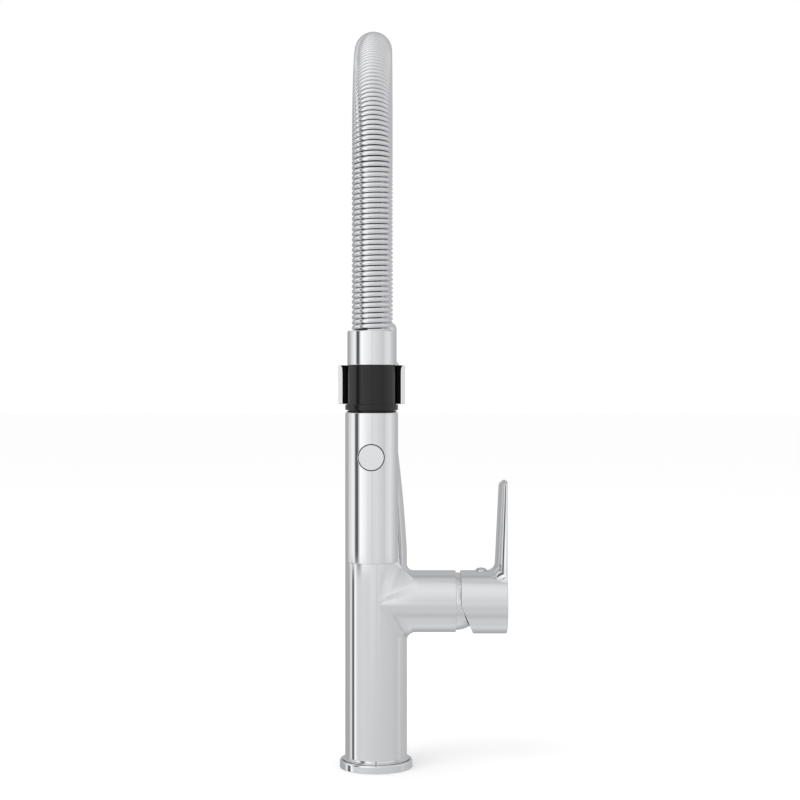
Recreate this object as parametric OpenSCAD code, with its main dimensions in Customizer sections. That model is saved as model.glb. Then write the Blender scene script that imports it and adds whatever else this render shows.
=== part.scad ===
// Deck-mounted kitchen mixer with a spring arch, a docked spray wand and a side lever.
// Millimetres, +Z up. The origin is on the column's axis, in the plane of the deck.
// The wand hangs towards -Y and the lever stands on the +X side.

/* [Column] */
// Diameter of the column's straight body
body_d = 46.4; // [44:0.2:50]
// Wall of the column round its lower cavity
body_wall = 3.5; // [2.5:0.5:5]
// Height at which the body starts to taper
shoulder_h = 162; // [158:1:172]
// Diameter of the neck above the taper
neck_d = 30.9; // [30.4:0.1:34]
// Length of the taper
taper_h = 83; // [65:1:85]
// Height of the neck's top face
neck_top = 271.5; // [268:0.5:300]
// Diameter of the flange on the deck
flange_d = 54.4; // [53:0.2:64]
// Thickness of the flange
flange_h = 8.2; // [7:0.1:10]

/* [Deck fixings] */
// Height of the brass base screwed into the column's foot
base_h = 14; // [12:1:20]
// Core diameter of the M8 stud hole
stud_hole_d = 6.8; // [6:0.1:7.4]
// Distance of the stud hole behind the axis, along -X
stud_offset = 9; // [8.5:0.5:11]
// Core diameter of the two M10 x 1 hose ports
port_d = 9; // [8:0.1:10]
// Offset of the hose ports along +X
port_x = 4; // [3:0.5:5]
// Distance between the two hose ports
port_gap = 16; // [15:0.5:18]
// Depth of the threads in the base
thread_depth = 10; // [8:0.5:11]
// Outer diameter of the copper supply tubes
supply_d = 8; // [6:0.5:9]

/* [Valve] */
// Height of the valve's axis
valve_h = 124.2; // [120:0.2:130]
// Diameter of the side branch
branch_d = 46.2; // [44:0.2:50]
// Distance of the branch's end from the column's axis
branch_end = 59.7; // [58:0.1:70]
// Diameter of the bore that holds the cartridge
cartridge_bore_d = 35.1; // [34.8:0.1:36]
// Thickness of the cartridge's base
cartridge_base_t = 3.8; // [3:0.2:5]
// Thickness of each ceramic disc
disc_t = 3; // [2.5:0.1:4]
// Diameter of the carrier's neck
carrier_neck_d = 22; // [21:0.2:23]
// Width across the square lever stem
stem_w = 8; // [6:0.5:8.5]
// Largest tilt of the lever, in degrees
tilt_max = 22; // [15:1:22]

/* [Handle] */
// Diameter of the lever's hood
hood_d = 47.2; // [46.8:0.2:52]
// Wall of the hood
hood_wall = 1.6; // [1.2:0.1:2.2]
// Gap between the branch and the hood
hood_gap = 3.7; // [3:0.1:5]
// Length of the hood
hood_len = 34.8; // [34:0.1:40]
// Height of the lever blade's tip above the valve's axis
lever_h = 91; // [60:0.1:110]
// Width of the lever blade, front to back
lever_w = 31; // [14:1:32]
// Thickness of the blade at its root
lever_root_t = 9.5; // [9:0.5:13]
// Thickness of the blade at its tip
lever_tip_t = 4.5; // [3:0.5:7]
// Diameter of the domed index plug
plug_d = 9.5; // [8:0.5:10]

/* [Spout] */
// Distance from the column's axis to the wand's axis
reach = 190; // [160:1:230]
// Height of the arm's ring on the collar
ring_h = 31.7; // [28:0.1:40]
// Diameter of the arm's ring
ring_d = 39; // [37:0.5:44]
// Height of the arm's axis above the ring's foot
arm_rise = 12.8; // [12.6:0.1:15]
// Height of the arm's section
arm_h = 16; // [10:0.5:18]
// Width of the arm's section
arm_w = 11; // [8:0.5:14]
// Length of the collar above the ring
collar_h = 29.7; // [26:0.1:36]
// Diameter of the swivel spigot
spigot_d = 20; // [19:0.5:21]

/* [Clip] */
// Height of the wand's clip
clip_h = 24.6; // [20:0.2:25]
// Wall of the chromed clip band
band_t = 2.85; // [2.4:0.05:4]
// Wall of the clip's soft liner
liner_t = 2.4; // [1.6:0.1:3.2]

/* [Spring arch] */
// Outer diameter of the spring
spring_d = 25; // [22:0.2:27]
// Diameter of the spring's wire
wire_d = 2.6; // [2:0.1:3]
// Number of curls
curls = 84; // [40:1:88]
// Straight length of the arch above the collar
leg_h = 86.9; // [70:0.1:120]
// Outer diameter of the hose
hose_d = 13; // [10:0.5:14]
// Inner diameter of the hose
hose_bore_d = 6.9; // [6.5:0.1:8]

/* [Wand] */
// Diameter of the wand's barrel
barrel_d = 33.6; // [32.6:0.1:38]
// Length of the barrel
barrel_h = 96.5; // [94:0.5:110]
// Wall of the barrel
barrel_wall = 1.6; // [1.2:0.1:2]
// Height of the sleeve's flange
sleeve_flange_h = 3.5; // [2.5:0.1:5]
// Diameter of the sleeve inside the clip
sleeve_d = 31; // [30:0.1:31.4]
// Length of the sleeve above its flange
sleeve_h = 24.8; // [24:0.1:27]
// Length of the wand's collar
wand_collar_h = 22.9; // [21:0.1:26]
// Depth of the button's centre under the barrel's top
button_drop = 29.7; // [27:0.1:34]
// Diameter of the push button
button_d = 16.2; // [14:0.2:18]
// Travel of the push button
button_travel = 2; // [1:0.1:2]
// Number of spray nozzles
nozzle_count = 24; // [12:1:30]

/* [Hidden] */
$fn = 64;

// Clearances shared by the fits
fit = 0.05;
running = 0.3;
seal_clear = 0.1;

// Column and base
cavity_r = body_d / 2 - body_wall;
foot_r = cavity_r + 1.5;
base_r = cavity_r - fit;
base_groove_z = 4;
o_ring_r = 0.9;
seal_in_r = foot_r + 1.2;
seal_t = 2;
seal_w = 3;
neck_r = neck_d / 2;
supply_z0 = base_h - 3;
cavity_roof = valve_h - cartridge_bore_d / 2 - 7.65;
supply_z1 = cavity_roof + 3;
passage_r = 2.8;
riser_r = 3.2;
outlet_r = 6;

// Swivel between the column and the spout
spigot_r = spigot_d / 2;
spigot_len = 35;
bush_t = 2;
bush_h = 6;
swivel_r = spigot_r + bush_t;
swivel_z0 = neck_top - spigot_len - 2;
bush_lower_z = swivel_z0 + 1.5;
bush_upper_z = neck_top - 9.5;
land_r = swivel_r - running;
washer_t = 0.8;
spout_z = neck_top + washer_t + fit;
retain_z = bush_upper_z - 5;
retain_r = 1.9;
retain_screw_r = 2.5;

// Valve stack along +X, counted from the seat at the bottom of the bore
bore_r = cartridge_bore_d / 2;
shell_r = bore_r - 0.25;
seal_stand = 0.2;
housing_wall = 2;
carrier_r = shell_r - housing_wall - running;
head_room = 5.7;
coupler_t = 7;
carrier_floor = 4.3;
housing_top_t = 5.7;
stack_base = seal_stand + cartridge_base_t;
stack_fixed = stack_base + disc_t;
stack_moving = stack_fixed + disc_t + fit;
stack_carrier = stack_moving + coupler_t + carrier_floor;
stack_top = stack_carrier + running + housing_top_t;
seat_x = branch_end - head_room - stack_top;
nut_h = 5;
nut_clear = 0.1;
housing_step = stack_top - 4.5;
pivot_x = branch_end - 0.2;
pivot_s = pivot_x - seat_x;
pin_r = 2;
neck_end_s = pivot_s + 3.5;
port_hot = [4.2, 8];
port_cold = [4.2, -8];
port_out = [-8, 0];
disc_port_r = passage_r;
moving_disc_r = 10;
ball_r = 3;
ball_arm = 17;
ball_s = pivot_s - ball_arm;
disc_rest = 3.2;
coupler_w = 16;
coupler_h = 13;
stem_h = stem_w / 2;

// Handle
hood_r = hood_d / 2;
hood_in_r = hood_r - hood_wall;
hood_x = branch_end + hood_gap;
hood_end = hood_x + hood_len;
hood_end_wall = 5;
dome_r = hood_in_r - 0.5;
dome_t = 1.5;
dome_cut = 13;
skirt_h = 4.4;
hub_r = 6.5;
hub_x = pivot_x + 16;
screw_x = pivot_x + 19.8;
screw_r = 2.5;
screw_len = 8;
screw_boss_r = 5;
plug_seat_h = 3;
plug_rise = 2;
blade_r = 5;

// Spout, arm and clip
ring_r = ring_d / 2;
ring_top = spout_z + ring_h;
collar_r = neck_r;
collar_top = ring_top + collar_h;
collar_lip_r = spring_d / 2 - 0.1;
collar_round = 6.5;
arm_z = spout_z + arm_rise;
clip_z = arm_z - clip_h / 2;
clip_top = clip_z + clip_h;
liner_r = sleeve_d / 2 + running;
band_in_r = liner_r + liner_t + fit;
band_out_r = band_in_r + band_t;
lip_r = band_in_r + 0.6;
lip_h = 1.6;
clip_screw_r = 2;
clip_head_r = 3.4;
clip_screw_len = 12;

// Arch
arch_r = reach / 2;
arch_z = collar_top + leg_h;
coil_r = (spring_d - wire_d) / 2;
hose_r = hose_d / 2;
hose_bore_r = hose_bore_d / 2;
nipple_r = hose_bore_r - fit;
nipple_len = 12;
tail_bore_r = 2.4;
tail_r = 7;
hex_r = 7.8;
hex_h = 3;
crimp_r = hose_r + 1.1;
hose_well_r = crimp_r + 0.5;
rear_tail_drop = 27.7;
rear_tail_z = collar_top - rear_tail_drop;

// Wand, counted down from the clip
sleeve_z = clip_z - running;
barrel_top = sleeve_z - sleeve_flange_h;
outlet_z = barrel_top - barrel_h;
sleeve_top = sleeve_z + sleeve_h;
wand_z = sleeve_top + fit;
wand_top = wand_z + wand_collar_h;
barrel_r = barrel_d / 2;
barrel_in_r = barrel_r - barrel_wall;
inner_r = barrel_in_r - 0.1;
shoulder_c = 0.9;
sleeve_thread_h = 7;
post_r = 6;
web_h = 18;
web_z = sleeve_top - web_h;
front_tail_z = wand_top - 13.9;
post_z = web_z - 3;
well_r = 8.2;
button_z = barrel_top - button_drop;
button_r = button_d / 2;
button_face = barrel_r + 0.2;
button_t = 4.4;
button_clear = 0.3;
button_floor = button_face - button_t - button_travel - 0.3;
spool_r = 4.6;
spool_bore_r = spool_r + 0.3;
spool_back = 7;
spring_pocket = 6;
body_drop = 33;
body_low = button_z - body_drop;
body_high = barrel_top - sleeve_thread_h - 0.5;
diverter_ring_z = [body_high - 4.8, body_low + 5.2];
face_h = 4.5;
face_inset = 0.6;
aerator_r = 8;
aerator_h = 12;
nozzle_pcd_r = 11.6;
nozzle_r = 0.9;
tube_r = 5;

button_coil_r = 6.4;
button_wire = 0.8;
button_curls = 3;

// ---------------------------------------------------------------- helpers

// A ring between two radii, from z0 up by h
module ring(r_out, r_in, h, z0 = 0) {
    translate([0, 0, z0])
        difference() {
            cylinder(r = r_out, h = h);
            translate([0, 0, -1])
                cylinder(r = r_in, h = h + 2);
        }
}

// An O-ring of section radius w round radius r
module o_ring(r, w, z) {
    translate([0, 0, z])
        rotate_extrude()
            translate([r, 0])
                circle(r = w);
}

// Valve frame: +Z of the children runs along +X from the cartridge seat
module on_valve() {
    translate([seat_x, 0, valve_h])
        rotate([0, 90, 0])
            children();
}

// Wand frame: the children's axis is the wand's axis
module on_wand() {
    translate([0, -reach, 0])
        children();
}

// Button frame: +Z of the children runs out of the wand, along -Y
module on_button() {
    translate([0, -reach, button_z])
        rotate([90, 0, 0])
            children();
}

// The three water ports of the cartridge, as cylinders along the valve frame's +Z
module valve_ports(h, z0) {
    for (p = [port_hot, port_cold, port_out])
        translate([p[0], p[1], z0])
            cylinder(r = disc_port_r, h = h);
}

// Radius of the column at a height in its taper
function taper_r(t) = body_d / 2 - (body_d / 2 - neck_r) * (0.6 * t + 0.4 * t * t);

// Quarter round from (r, z) to (r - c, z + c), for turned outlines
function round_edge(r, z, c, steps = 6) = [
    for (i = [0 : steps])
        [r - c + c * cos(90 * i / steps), z + c * sin(90 * i / steps)]
];

// ---------------------------------------------------------------- wound springs

// Point on the arch's centre line at distance s from the rear collar
function arch_point(s) =
    s < leg_h
        ? [0, 0, collar_top + s]
        : s < leg_h + PI * arch_r
            ? [0, -arch_r + arch_r * cos(arch_angle(s)), arch_z + arch_r * sin(arch_angle(s))]
            : [0, -reach, arch_z - (s - leg_h - PI * arch_r)];

// Angle turned round the arch at distance s
function arch_angle(s) = min(180, max(0, (s - leg_h) / arch_r * 180 / PI));

// Direction across the arch, in its own plane, pointing away from its centre
function arch_out(s) = [0, cos(arch_angle(s)), sin(arch_angle(s))];

// Centre of the wire at distance s along the arch and phase f round it
function arch_wire(s, f) = arch_point(s) + coil_r * (cos(f) * [1, 0, 0] + sin(f) * arch_out(s));

// Phase and distance of every ring: a straight end, a bend, the curls, a bend, a straight end
function coil_steps(length, r, wire, turns, sides = 8) =
    let (
        bend = 1.2 * wire,
        lead = wire + bend,
        bend_f = bend / r * 180 / PI,
        run = length - 2 * lead,
        last_f = 2 * bend_f + 360 * turns
    )
    concat(
        [[0, 0]],
        [for (t = [0, 35, 65]) [wire + bend * sin(t), bend_f * (1 - cos(t))]],
        [for (i = [0 : turns * sides]) [lead + run * i / (turns * sides), bend_f + 360 * i / sides]],
        [for (t = [65, 35, 0]) [length - wire - bend * sin(t), last_f - bend_f * (1 - cos(t))]],
        [[length, last_f]]
    );

function unit(v) = v / norm(v);

// Direction of the wire at ring i: square to its seat on the straight ends
function wire_dir(c, i) =
    let (n = len(c) - 1)
    i <= 1
        ? unit(c[1] - c[0])
        : i >= n - 1
            ? unit(c[n] - c[n - 1])
            : unit(c[i + 1] - c[i - 1]);

// Six points round the wire at ring i
function wire_ring(c, i, r, out) =
    let (
        t = wire_dir(c, i),
        u = unit(out - (out * t) * t),
        v = cross(t, u)
    )
    [for (k = [0 : 5]) c[i] + r * (cos(60 * k) * u + sin(60 * k) * v)];

// Sweeps a six-sided wire along the centres c; outs gives each ring's outward direction
module wire_tube(c, outs, r) {
    n = len(c);
    points = [for (i = [0 : n - 1]) each wire_ring(c, i, r, outs[i])];
    sides = [
        for (i = [0 : n - 2], k = [0 : 5])
            let (a = 6 * i + k, b = 6 * i + (k + 1) % 6)
            each [[a, a + 6, b], [b, a + 6, b + 6]]
    ];
    caps = [
        for (k = [1 : 4])
            each [[0, k, k + 1], [6 * n - 6, 6 * n - 6 + k + 1, 6 * n - 6 + k]]
    ];
    polyhedron(points = points, faces = concat(sides, caps), convexity = 10);
}

// Least gap between neighbouring curls, measured between ring centres
function least_gap(c, wire, sides = 8) = min([
    for (i = [0 : len(c) - sides - 2], j = [sides - 1 : sides + 1])
        norm(c[i + j] - c[i]) - wire
]);

// ---------------------------------------------------------------- column

module column_outline() {
    steps = 14;
    polygon(concat(
        [[0, 0.2], [foot_r, 0.2], [foot_r, flange_h], [body_d / 2 - 0.6, flange_h]],
        [[body_d / 2, flange_h + 0.6]],
        [for (i = [0 : steps]) [taper_r(i / steps), shoulder_h + taper_h * i / steps]],
        [[neck_r, neck_top - 0.4], [neck_r - 0.4, neck_top], [0, neck_top]]
    ));
}

module column_body() {
    color("gainsboro")
        difference() {
            union() {
                rotate_extrude()
                    column_outline();
                translate([0, 0, valve_h])
                    rotate([0, 90, 0])
                        cylinder(r = branch_d / 2, h = branch_end);
            }
            // lower cavity round the supply tubes
            translate([0, 0, -1])
                cylinder(r = cavity_r, h = cavity_roof + 1);
            // sockets and passages up to the cartridge
            for (p = [port_hot, port_cold]) {
                translate([port_x, sign(p[1]) * port_gap / 2, cavity_roof - 1])
                    cylinder(r = supply_d / 2 + fit, h = supply_z1 - cavity_roof + 1);
                translate([port_x, sign(p[1]) * port_gap / 2, supply_z1 - 1])
                    cylinder(r = riser_r, h = valve_h - p[0] + riser_r - supply_z1 + 1);
                translate([port_x, p[1], valve_h - p[0]])
                    rotate([0, 90, 0])
                        cylinder(r = passage_r, h = seat_x - port_x + 1);
            }
            // mixed water: across from the cartridge, then up the axis
            translate([0, port_out[1], valve_h - port_out[0]])
                rotate([0, 90, 0])
                    cylinder(r = passage_r, h = seat_x + 1);
            translate([0, 0, valve_h - port_out[0] - outlet_r])
                cylinder(r = outlet_r, h = swivel_z0 - valve_h);
            // cartridge bore
            on_valve()
                cylinder(r = bore_r, h = branch_end - seat_x + 1);
            // swivel bore and its retaining screw at the back
            translate([0, 0, swivel_z0])
                cylinder(r = swivel_r, h = neck_top);
            translate([0, swivel_r - 1, retain_z])
                rotate([-90, 0, 0])
                    cylinder(r = retain_screw_r + fit, h = neck_r);
        }
}

module base_flange() {
    seal_out_r = seal_in_r + seal_w;
    // sloping shoulder, as distances in from the rim and down from the top
    shoulder = [[0, 3.5], [0.2, 3.1], [0.7, 2.5], [1.3, 1.8], [2.4, 1], [3.8, 0.2]];
    color("gainsboro")
        difference() {
            rotate_extrude()
                polygon(concat(
                    [[foot_r + fit, 0], [flange_d / 2 - 0.3, 0], [flange_d / 2, 0.3]],
                    [for (p = shoulder) [flange_d / 2 - p[0], flange_h - p[1]]],
                    [[foot_r + fit, flange_h]]
                ));
            ring(seal_out_r + fit, seal_in_r - fit, seal_t + 1, -1);
        }
}

module base_seal() {
    color("dimgray")
        ring(seal_in_r + seal_w, seal_in_r, seal_t);
}

module mounting_base() {
    color("goldenrod")
        difference() {
            cylinder(r = base_r, h = base_h);
            ring(base_r + 1, base_r - 2 * o_ring_r, 2 * o_ring_r + 0.4, base_groove_z);
            translate([-stud_offset, 0, -1])
                cylinder(r = stud_hole_d / 2, h = thread_depth + 1);
            for (y = [-port_gap / 2, port_gap / 2])
                translate([port_x, y, 0]) {
                    translate([0, 0, -1])
                        cylinder(r = port_d / 2, h = thread_depth + 1);
                    cylinder(r = passage_r, h = base_h);
                    translate([0, 0, supply_z0])
                        cylinder(r = supply_d / 2 + fit, h = base_h);
                }
        }
}

module base_o_ring() {
    color("black")
        o_ring(base_r - o_ring_r, o_ring_r, base_groove_z + o_ring_r + 0.2);
}

module supply_tube(side) {
    color("peru")
        translate([port_x, side * port_gap / 2, 0])
            ring(supply_d / 2, supply_d / 2 - 0.8, supply_z1 - supply_z0, supply_z0);
}

module supply_tube_hot() {
    supply_tube(1);
}

module supply_tube_cold() {
    supply_tube(-1);
}

// Split bearing ring that snaps round the spigot
module split_bush(z0) {
    color("ivory")
        difference() {
            ring(swivel_r - fit, spigot_r + fit, bush_h, z0);
            translate([0, -0.5, z0 - 1])
                cube([swivel_r + 1, 1, bush_h + 2]);
        }
}

module swivel_bush_lower() {
    split_bush(bush_lower_z);
}

module swivel_bush_upper() {
    split_bush(bush_upper_z);
}

module thrust_washer() {
    color("ivory")
        ring(neck_r - 0.5, swivel_r + 0.2, washer_t, neck_top);
}

module spout_retaining_screw() {
    color("silver")
        translate([0, 0, retain_z])
            rotate([-90, 0, 0])
                difference() {
                    union() {
                        translate([0, 0, spigot_r + 0.2])
                            cylinder(r = retain_r, h = 3);
                        translate([0, 0, swivel_r + 0.1])
                            cylinder(r = retain_screw_r, h = neck_r - swivel_r - 0.6);
                    }
                    translate([0, 0, neck_r - 2])
                        cylinder(r = 1.4, h = 3, $fn = 6);
                }
}

// ---------------------------------------------------------------- valve

module cartridge_base() {
    color("white")
        on_valve()
            difference() {
                translate([0, 0, seal_stand])
                    cylinder(r = shell_r, h = cartridge_base_t);
                valve_ports(cartridge_base_t + 2, -1);
                for (p = [port_hot, port_cold, port_out])
                    translate([p[0], p[1], -1])
                        cylinder(r = disc_port_r + 1.5, h = 1 + 1.4);
            }
}

module cartridge_seals() {
    color("black")
        on_valve()
            for (p = [port_hot, port_cold, port_out])
                translate([p[0], p[1], 0])
                    o_ring(disc_port_r + 0.75, 0.7, 0.7);
}

module fixed_disc() {
    color("snow")
        on_valve()
            difference() {
                translate([0, 0, stack_base])
                    cylinder(r = carrier_r - 1, h = disc_t);
                valve_ports(disc_t + 2, stack_base - 1);
            }
}

module cartridge_housing() {
    color("white")
        on_valve()
            difference() {
                union() {
                    translate([0, 0, stack_base])
                        cylinder(r = shell_r, h = housing_step - stack_base);
                    translate([0, 0, stack_base])
                        cylinder(r = shell_r - housing_wall, h = stack_top - stack_base);
                }
                translate([0, 0, stack_base - 1])
                    cylinder(r = carrier_r + running, h = stack_carrier + running - stack_base + 1);
                cylinder(r = carrier_neck_d / 2 + seal_clear, h = stack_top + 1);
            }
}

module cartridge_nut() {
    notch_w = 4;
    color("goldenrod")
        on_valve()
            difference() {
                ring(bore_r - fit, shell_r - housing_wall + nut_clear, nut_h, housing_step);
                for (a = [0 : 60 : 120])
                    rotate([0, 0, a])
                        translate([-bore_r, -notch_w / 2, housing_step + nut_h - 1.5])
                            cube([2 * bore_r, notch_w, 3]);
            }
}

// Fixed dome: the tilting hood slides round it
module trim_dome() {
    dome_s = branch_end - seat_x;
    color("gainsboro")
        on_valve()
            difference() {
                union() {
                    translate([0, 0, pivot_s])
                        sphere(r = dome_r);
                    translate([0, 0, dome_s - skirt_h])
                        cylinder(r = bore_r - fit, h = skirt_h);
                }
                translate([0, 0, pivot_s])
                    sphere(r = dome_r - dome_t);
                translate([0, 0, -2 * dome_r])
                    cylinder(r = 2 * dome_r, h = dome_s - skirt_h + 2 * dome_r);
                translate([0, 0, pivot_s + dome_cut])
                    cylinder(r = dome_r, h = dome_r);
                ring(2 * dome_r, bore_r - fit, skirt_h + 1, dome_s - skirt_h - 1);
                translate([0, 0, dome_s - skirt_h - 1])
                    cylinder(r = bore_r - 2, h = skirt_h + 1);
            }
}

// Runs in the fixed disc's plane; the stem's ball end slides it up and down
module moving_disc() {
    color("snow")
        on_valve()
            translate([disc_rest, 0, stack_fixed + fit])
                cylinder(r = moving_disc_r, h = disc_t);
}

module disc_coupler() {
    pocket = ball_r + 0.4;
    color("lightsteelblue")
        on_valve()
            difference() {
                translate([disc_rest - coupler_h / 2, -coupler_w / 2, stack_moving])
                    cube([coupler_h, coupler_w, coupler_t]);
                translate([-pocket, -pocket, stack_moving + 1.5])
                    cube([2 * pocket, 2 * pocket, coupler_t]);
            }
}

// Slot that leaves room for the square stem at every tilt, in the pivot's frame
module stem_slot() {
    swing = tan(tilt_max);
    low = -20;
    high = 5;
    clear = stem_h / cos(tilt_max) + 0.4;
    rotate([90, 0, 0])
        linear_extrude(height = stem_w + 0.6, center = true)
            polygon([
                [clear, low], [clear, 0], [clear + swing * high, high],
                [-clear, high], [-clear, 0], [-clear + swing * low, low]
            ]);
}

module carrier() {
    channel = coupler_h + 2 * disc_rest + 2;
    color("lightsteelblue")
        on_valve()
            difference() {
                union() {
                    translate([0, 0, stack_moving + running])
                        cylinder(r = carrier_r, h = coupler_t + carrier_floor - running);
                    translate([0, 0, stack_carrier - 1])
                        cylinder(r = carrier_neck_d / 2, h = neck_end_s - stack_carrier + 1);
                }
                translate([-channel / 2, -coupler_w / 2 - 0.2, stack_moving - 1])
                    cube([channel, coupler_w + 0.4, coupler_t + 1 + running]);
                translate([0, 0, pivot_s])
                    stem_slot();
                translate([0, 0, pivot_s])
                    rotate([90, 0, 0])
                        cylinder(r = pin_r + 0.02, h = carrier_neck_d + 2, center = true);
                ring(carrier_neck_d / 2 + 1, carrier_neck_d / 2 - 1.7, 2.2, stack_top - 3.6);
            }
}

module carrier_o_ring() {
    color("black")
        on_valve()
            o_ring(carrier_neck_d / 2 - 0.9, 0.8, stack_top - 2.5);
}

module stem_pin() {
    color("silver")
        on_valve()
            translate([0, 0, pivot_s])
                rotate([90, 0, 0])
                    cylinder(r = pin_r, h = carrier_neck_d - 1, center = true);
}

// ---------------------------------------------------------------- handle

module lever_stem() {
    square_s = pivot_s - 14.3;
    stem_end = hood_end - hood_end_wall - 1 - seat_x;
    color("silver")
        on_valve()
            difference() {
                union() {
                    translate([0, 0, ball_s])
                        sphere(r = ball_r);
                    translate([0, 0, ball_s])
                        cylinder(r = 2.2, h = square_s - ball_s + 1);
                    translate([-stem_h, -stem_h, square_s])
                        cube([stem_w, stem_w, stem_end - square_s]);
                }
                translate([0, 0, pivot_s])
                    rotate([90, 0, 0])
                        cylinder(r = pin_r + fit, h = stem_w + 2, center = true);
            }
}

// Side view of the blade, in X and Z, with its root sunk into the hood's wall
module blade_outline() {
    top_z = valve_h + lever_h;
    root_z = valve_h + sqrt(pow(hood_in_r + hood_wall / 2, 2) - pow(lever_w / 2, 2));
    polygon([
        [hood_end - 0.3, root_z],
        [hood_end - 0.3, top_z - 3.3],
        [hood_end - 1.5, top_z],
        [hood_end - lever_tip_t + 1, top_z],
        [hood_end - lever_tip_t - 1.6, top_z - 3.4],
        [hood_end - lever_root_t, valve_h + hood_r],
        [hood_end - lever_root_t, root_z]
    ]);
}

// Half section of the ring that leads in a hollow curve from the hood to the blade
module blade_fillet() {
    fillet = 5.5;
    start_x = hood_end - lever_root_t - fillet + 1.1;
    inside_x = hood_end - lever_root_t + 2;
    polygon(concat(
        [[hood_in_r + 1, start_x]],
        [for (a = [0 : 15 : 75])
            [hood_r + fillet - fillet * cos(a), start_x + fillet * sin(a)]],
        [[hood_r + 4, inside_x], [hood_in_r + 1, inside_x]]
    ));
}

// Front view of the blade, in Y and Z: a strip with a half-round tip
module blade_front() {
    top_z = valve_h + lever_h;
    translate([-lever_w / 2, valve_h])
        square([lever_w, lever_h - blade_r]);
    translate([-lever_w / 2 + blade_r, valve_h])
        square([lever_w - 2 * blade_r, lever_h]);
    for (y = [-1, 1])
        translate([y * (lever_w / 2 - blade_r), top_z - blade_r])
            circle(r = blade_r);
}

module lever_handle() {
    // the lower inner edge is cut back so that it clears the branch when tilted
    cut_x = 9.4;
    cut_z = 23.3;
    hub_end = hood_end - 1;
    socket_x = min(hub_x, screw_x - screw_boss_r) - 1;
    edge = 2;
    color("gainsboro")
        difference() {
            union() {
                difference() {
                    translate([0, 0, valve_h])
                        rotate([0, 90, 0])
                            rotate_extrude()
                                polygon(concat(
                                    [[0, hood_x], [hood_r, hood_x]],
                                    round_edge(hood_r, hood_end - edge, edge),
                                    [[0, hood_end]]
                                ));
                    translate([hood_x - 1, 0, valve_h])
                        rotate([0, 90, 0])
                            cylinder(r = hood_in_r, h = hood_len - hood_end_wall + 1);
                }
                intersection() {
                    union() {
                        rotate([90, 0, 0])
                            linear_extrude(height = lever_w + 2, center = true)
                                blade_outline();
                        translate([0, 0, valve_h])
                            rotate([0, 90, 0])
                                rotate_extrude()
                                    blade_fillet();
                    }
                    translate([hood_x, 0, 0])
                        rotate([90, 0, 90])
                            linear_extrude(height = hood_len)
                                blade_front();
                }
                // hub on the stem and boss of the set screw
                translate([hub_x, 0, valve_h])
                    rotate([0, 90, 0])
                        cylinder(r = hub_r, h = hub_end - hub_x);
                translate([screw_x, 0, valve_h])
                    cylinder(r = screw_boss_r, h = hood_in_r + 0.8);
            }
            translate([hood_x, 0, valve_h])
                rotate([0, -atan2(cut_x, cut_z), 0])
                    translate([-2 * hood_d, -hood_d, -hood_d])
                        cube(2 * hood_d);
            translate([socket_x, -stem_h - fit, valve_h - stem_h - fit])
                cube([hood_end - hood_end_wall - socket_x, stem_w + 2 * fit, stem_w + 2 * fit]);
            translate([screw_x, 0, valve_h])
                cylinder(r = screw_r + fit, h = hood_d);
            translate([screw_x, 0, valve_h + hood_r - plug_seat_h])
                cylinder(r = plug_d / 2 - 0.35, h = hood_d);
            translate([screw_x, 0, valve_h + hood_r])
                cylinder(r = plug_d / 2 + running, h = plug_rise);
        }
}

module handle_set_screw() {
    color("silver")
        translate([screw_x, 0, valve_h + stem_h])
            difference() {
                cylinder(r = screw_r, h = screw_len);
                translate([0, 0, screw_len - 2])
                    cylinder(r = 1.4, h = 3, $fn = 6);
            }
}

module index_plug() {
    shank_r = plug_d / 2 - 0.4;
    plug_r = plug_d / 2;
    cap_r = (plug_r * plug_r + plug_rise * plug_rise) / (2 * plug_rise);
    color("darkgray")
        translate([screw_x, 0, valve_h + hood_r]) {
            translate([0, 0, -plug_seat_h + 0.1])
                cylinder(r = shank_r, h = plug_seat_h);
            intersection() {
                translate([0, 0, plug_rise - cap_r])
                    sphere(r = cap_r);
                cylinder(r = plug_r, h = plug_rise + 1);
            }
        }
}

// ---------------------------------------------------------------- spout

module spout_collar() {
    spigot_z = neck_top - spigot_len;
    land_z0 = bush_lower_z + bush_h + running;
    land_z1 = bush_upper_z - running;
    color("gainsboro")
        difference() {
            rotate_extrude()
                polygon(concat(
                    [[0, spigot_z], [spigot_r, spigot_z], [spigot_r, land_z0], [land_r, land_z0]],
                    [[land_r, land_z1], [spigot_r, land_z1], [spigot_r, spout_z]],
                    [[collar_r - 0.4, spout_z], [collar_r, spout_z + 0.4]],
                    [for (a = [0 : 15 : 90])
                        [
                            collar_lip_r + (collar_r - collar_lip_r) * cos(a),
                            collar_top - collar_round + collar_round * sin(a)
                        ]],
                    [[0, collar_top]]
                ));
            translate([0, 0, spigot_z - 1])
                cylinder(r = tail_r - 2, h = collar_top);
            translate([0, 0, rear_tail_z - 6])
                cylinder(r = tail_r + fit, h = collar_top);
            translate([0, 0, rear_tail_z])
                cylinder(r = hose_well_r, h = collar_top);
            // O-ring grooves, then the groove of the retaining screw
            for (z = [land_z0 + 3, land_z0 + 7])
                ring(land_r + 1, land_r - 1.8, 2.4, z - 1.2);
            ring(land_r + 1, spigot_r, 2 * retain_r + 0.4, retain_z - retain_r - 0.2);
        }
}

module spigot_o_rings() {
    land_z0 = bush_lower_z + bush_h + running;
    color("black")
        for (z = [land_z0 + 3, land_z0 + 7])
            o_ring(swivel_r - seal_clear - 1, 1, z);
}

module arm_section() {
    half = (arm_h - arm_w) / 2;
    square([arm_w, 2 * half], center = true);
    for (z = [-half, half])
        translate([0, z])
            circle(d = arm_w);
}

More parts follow.
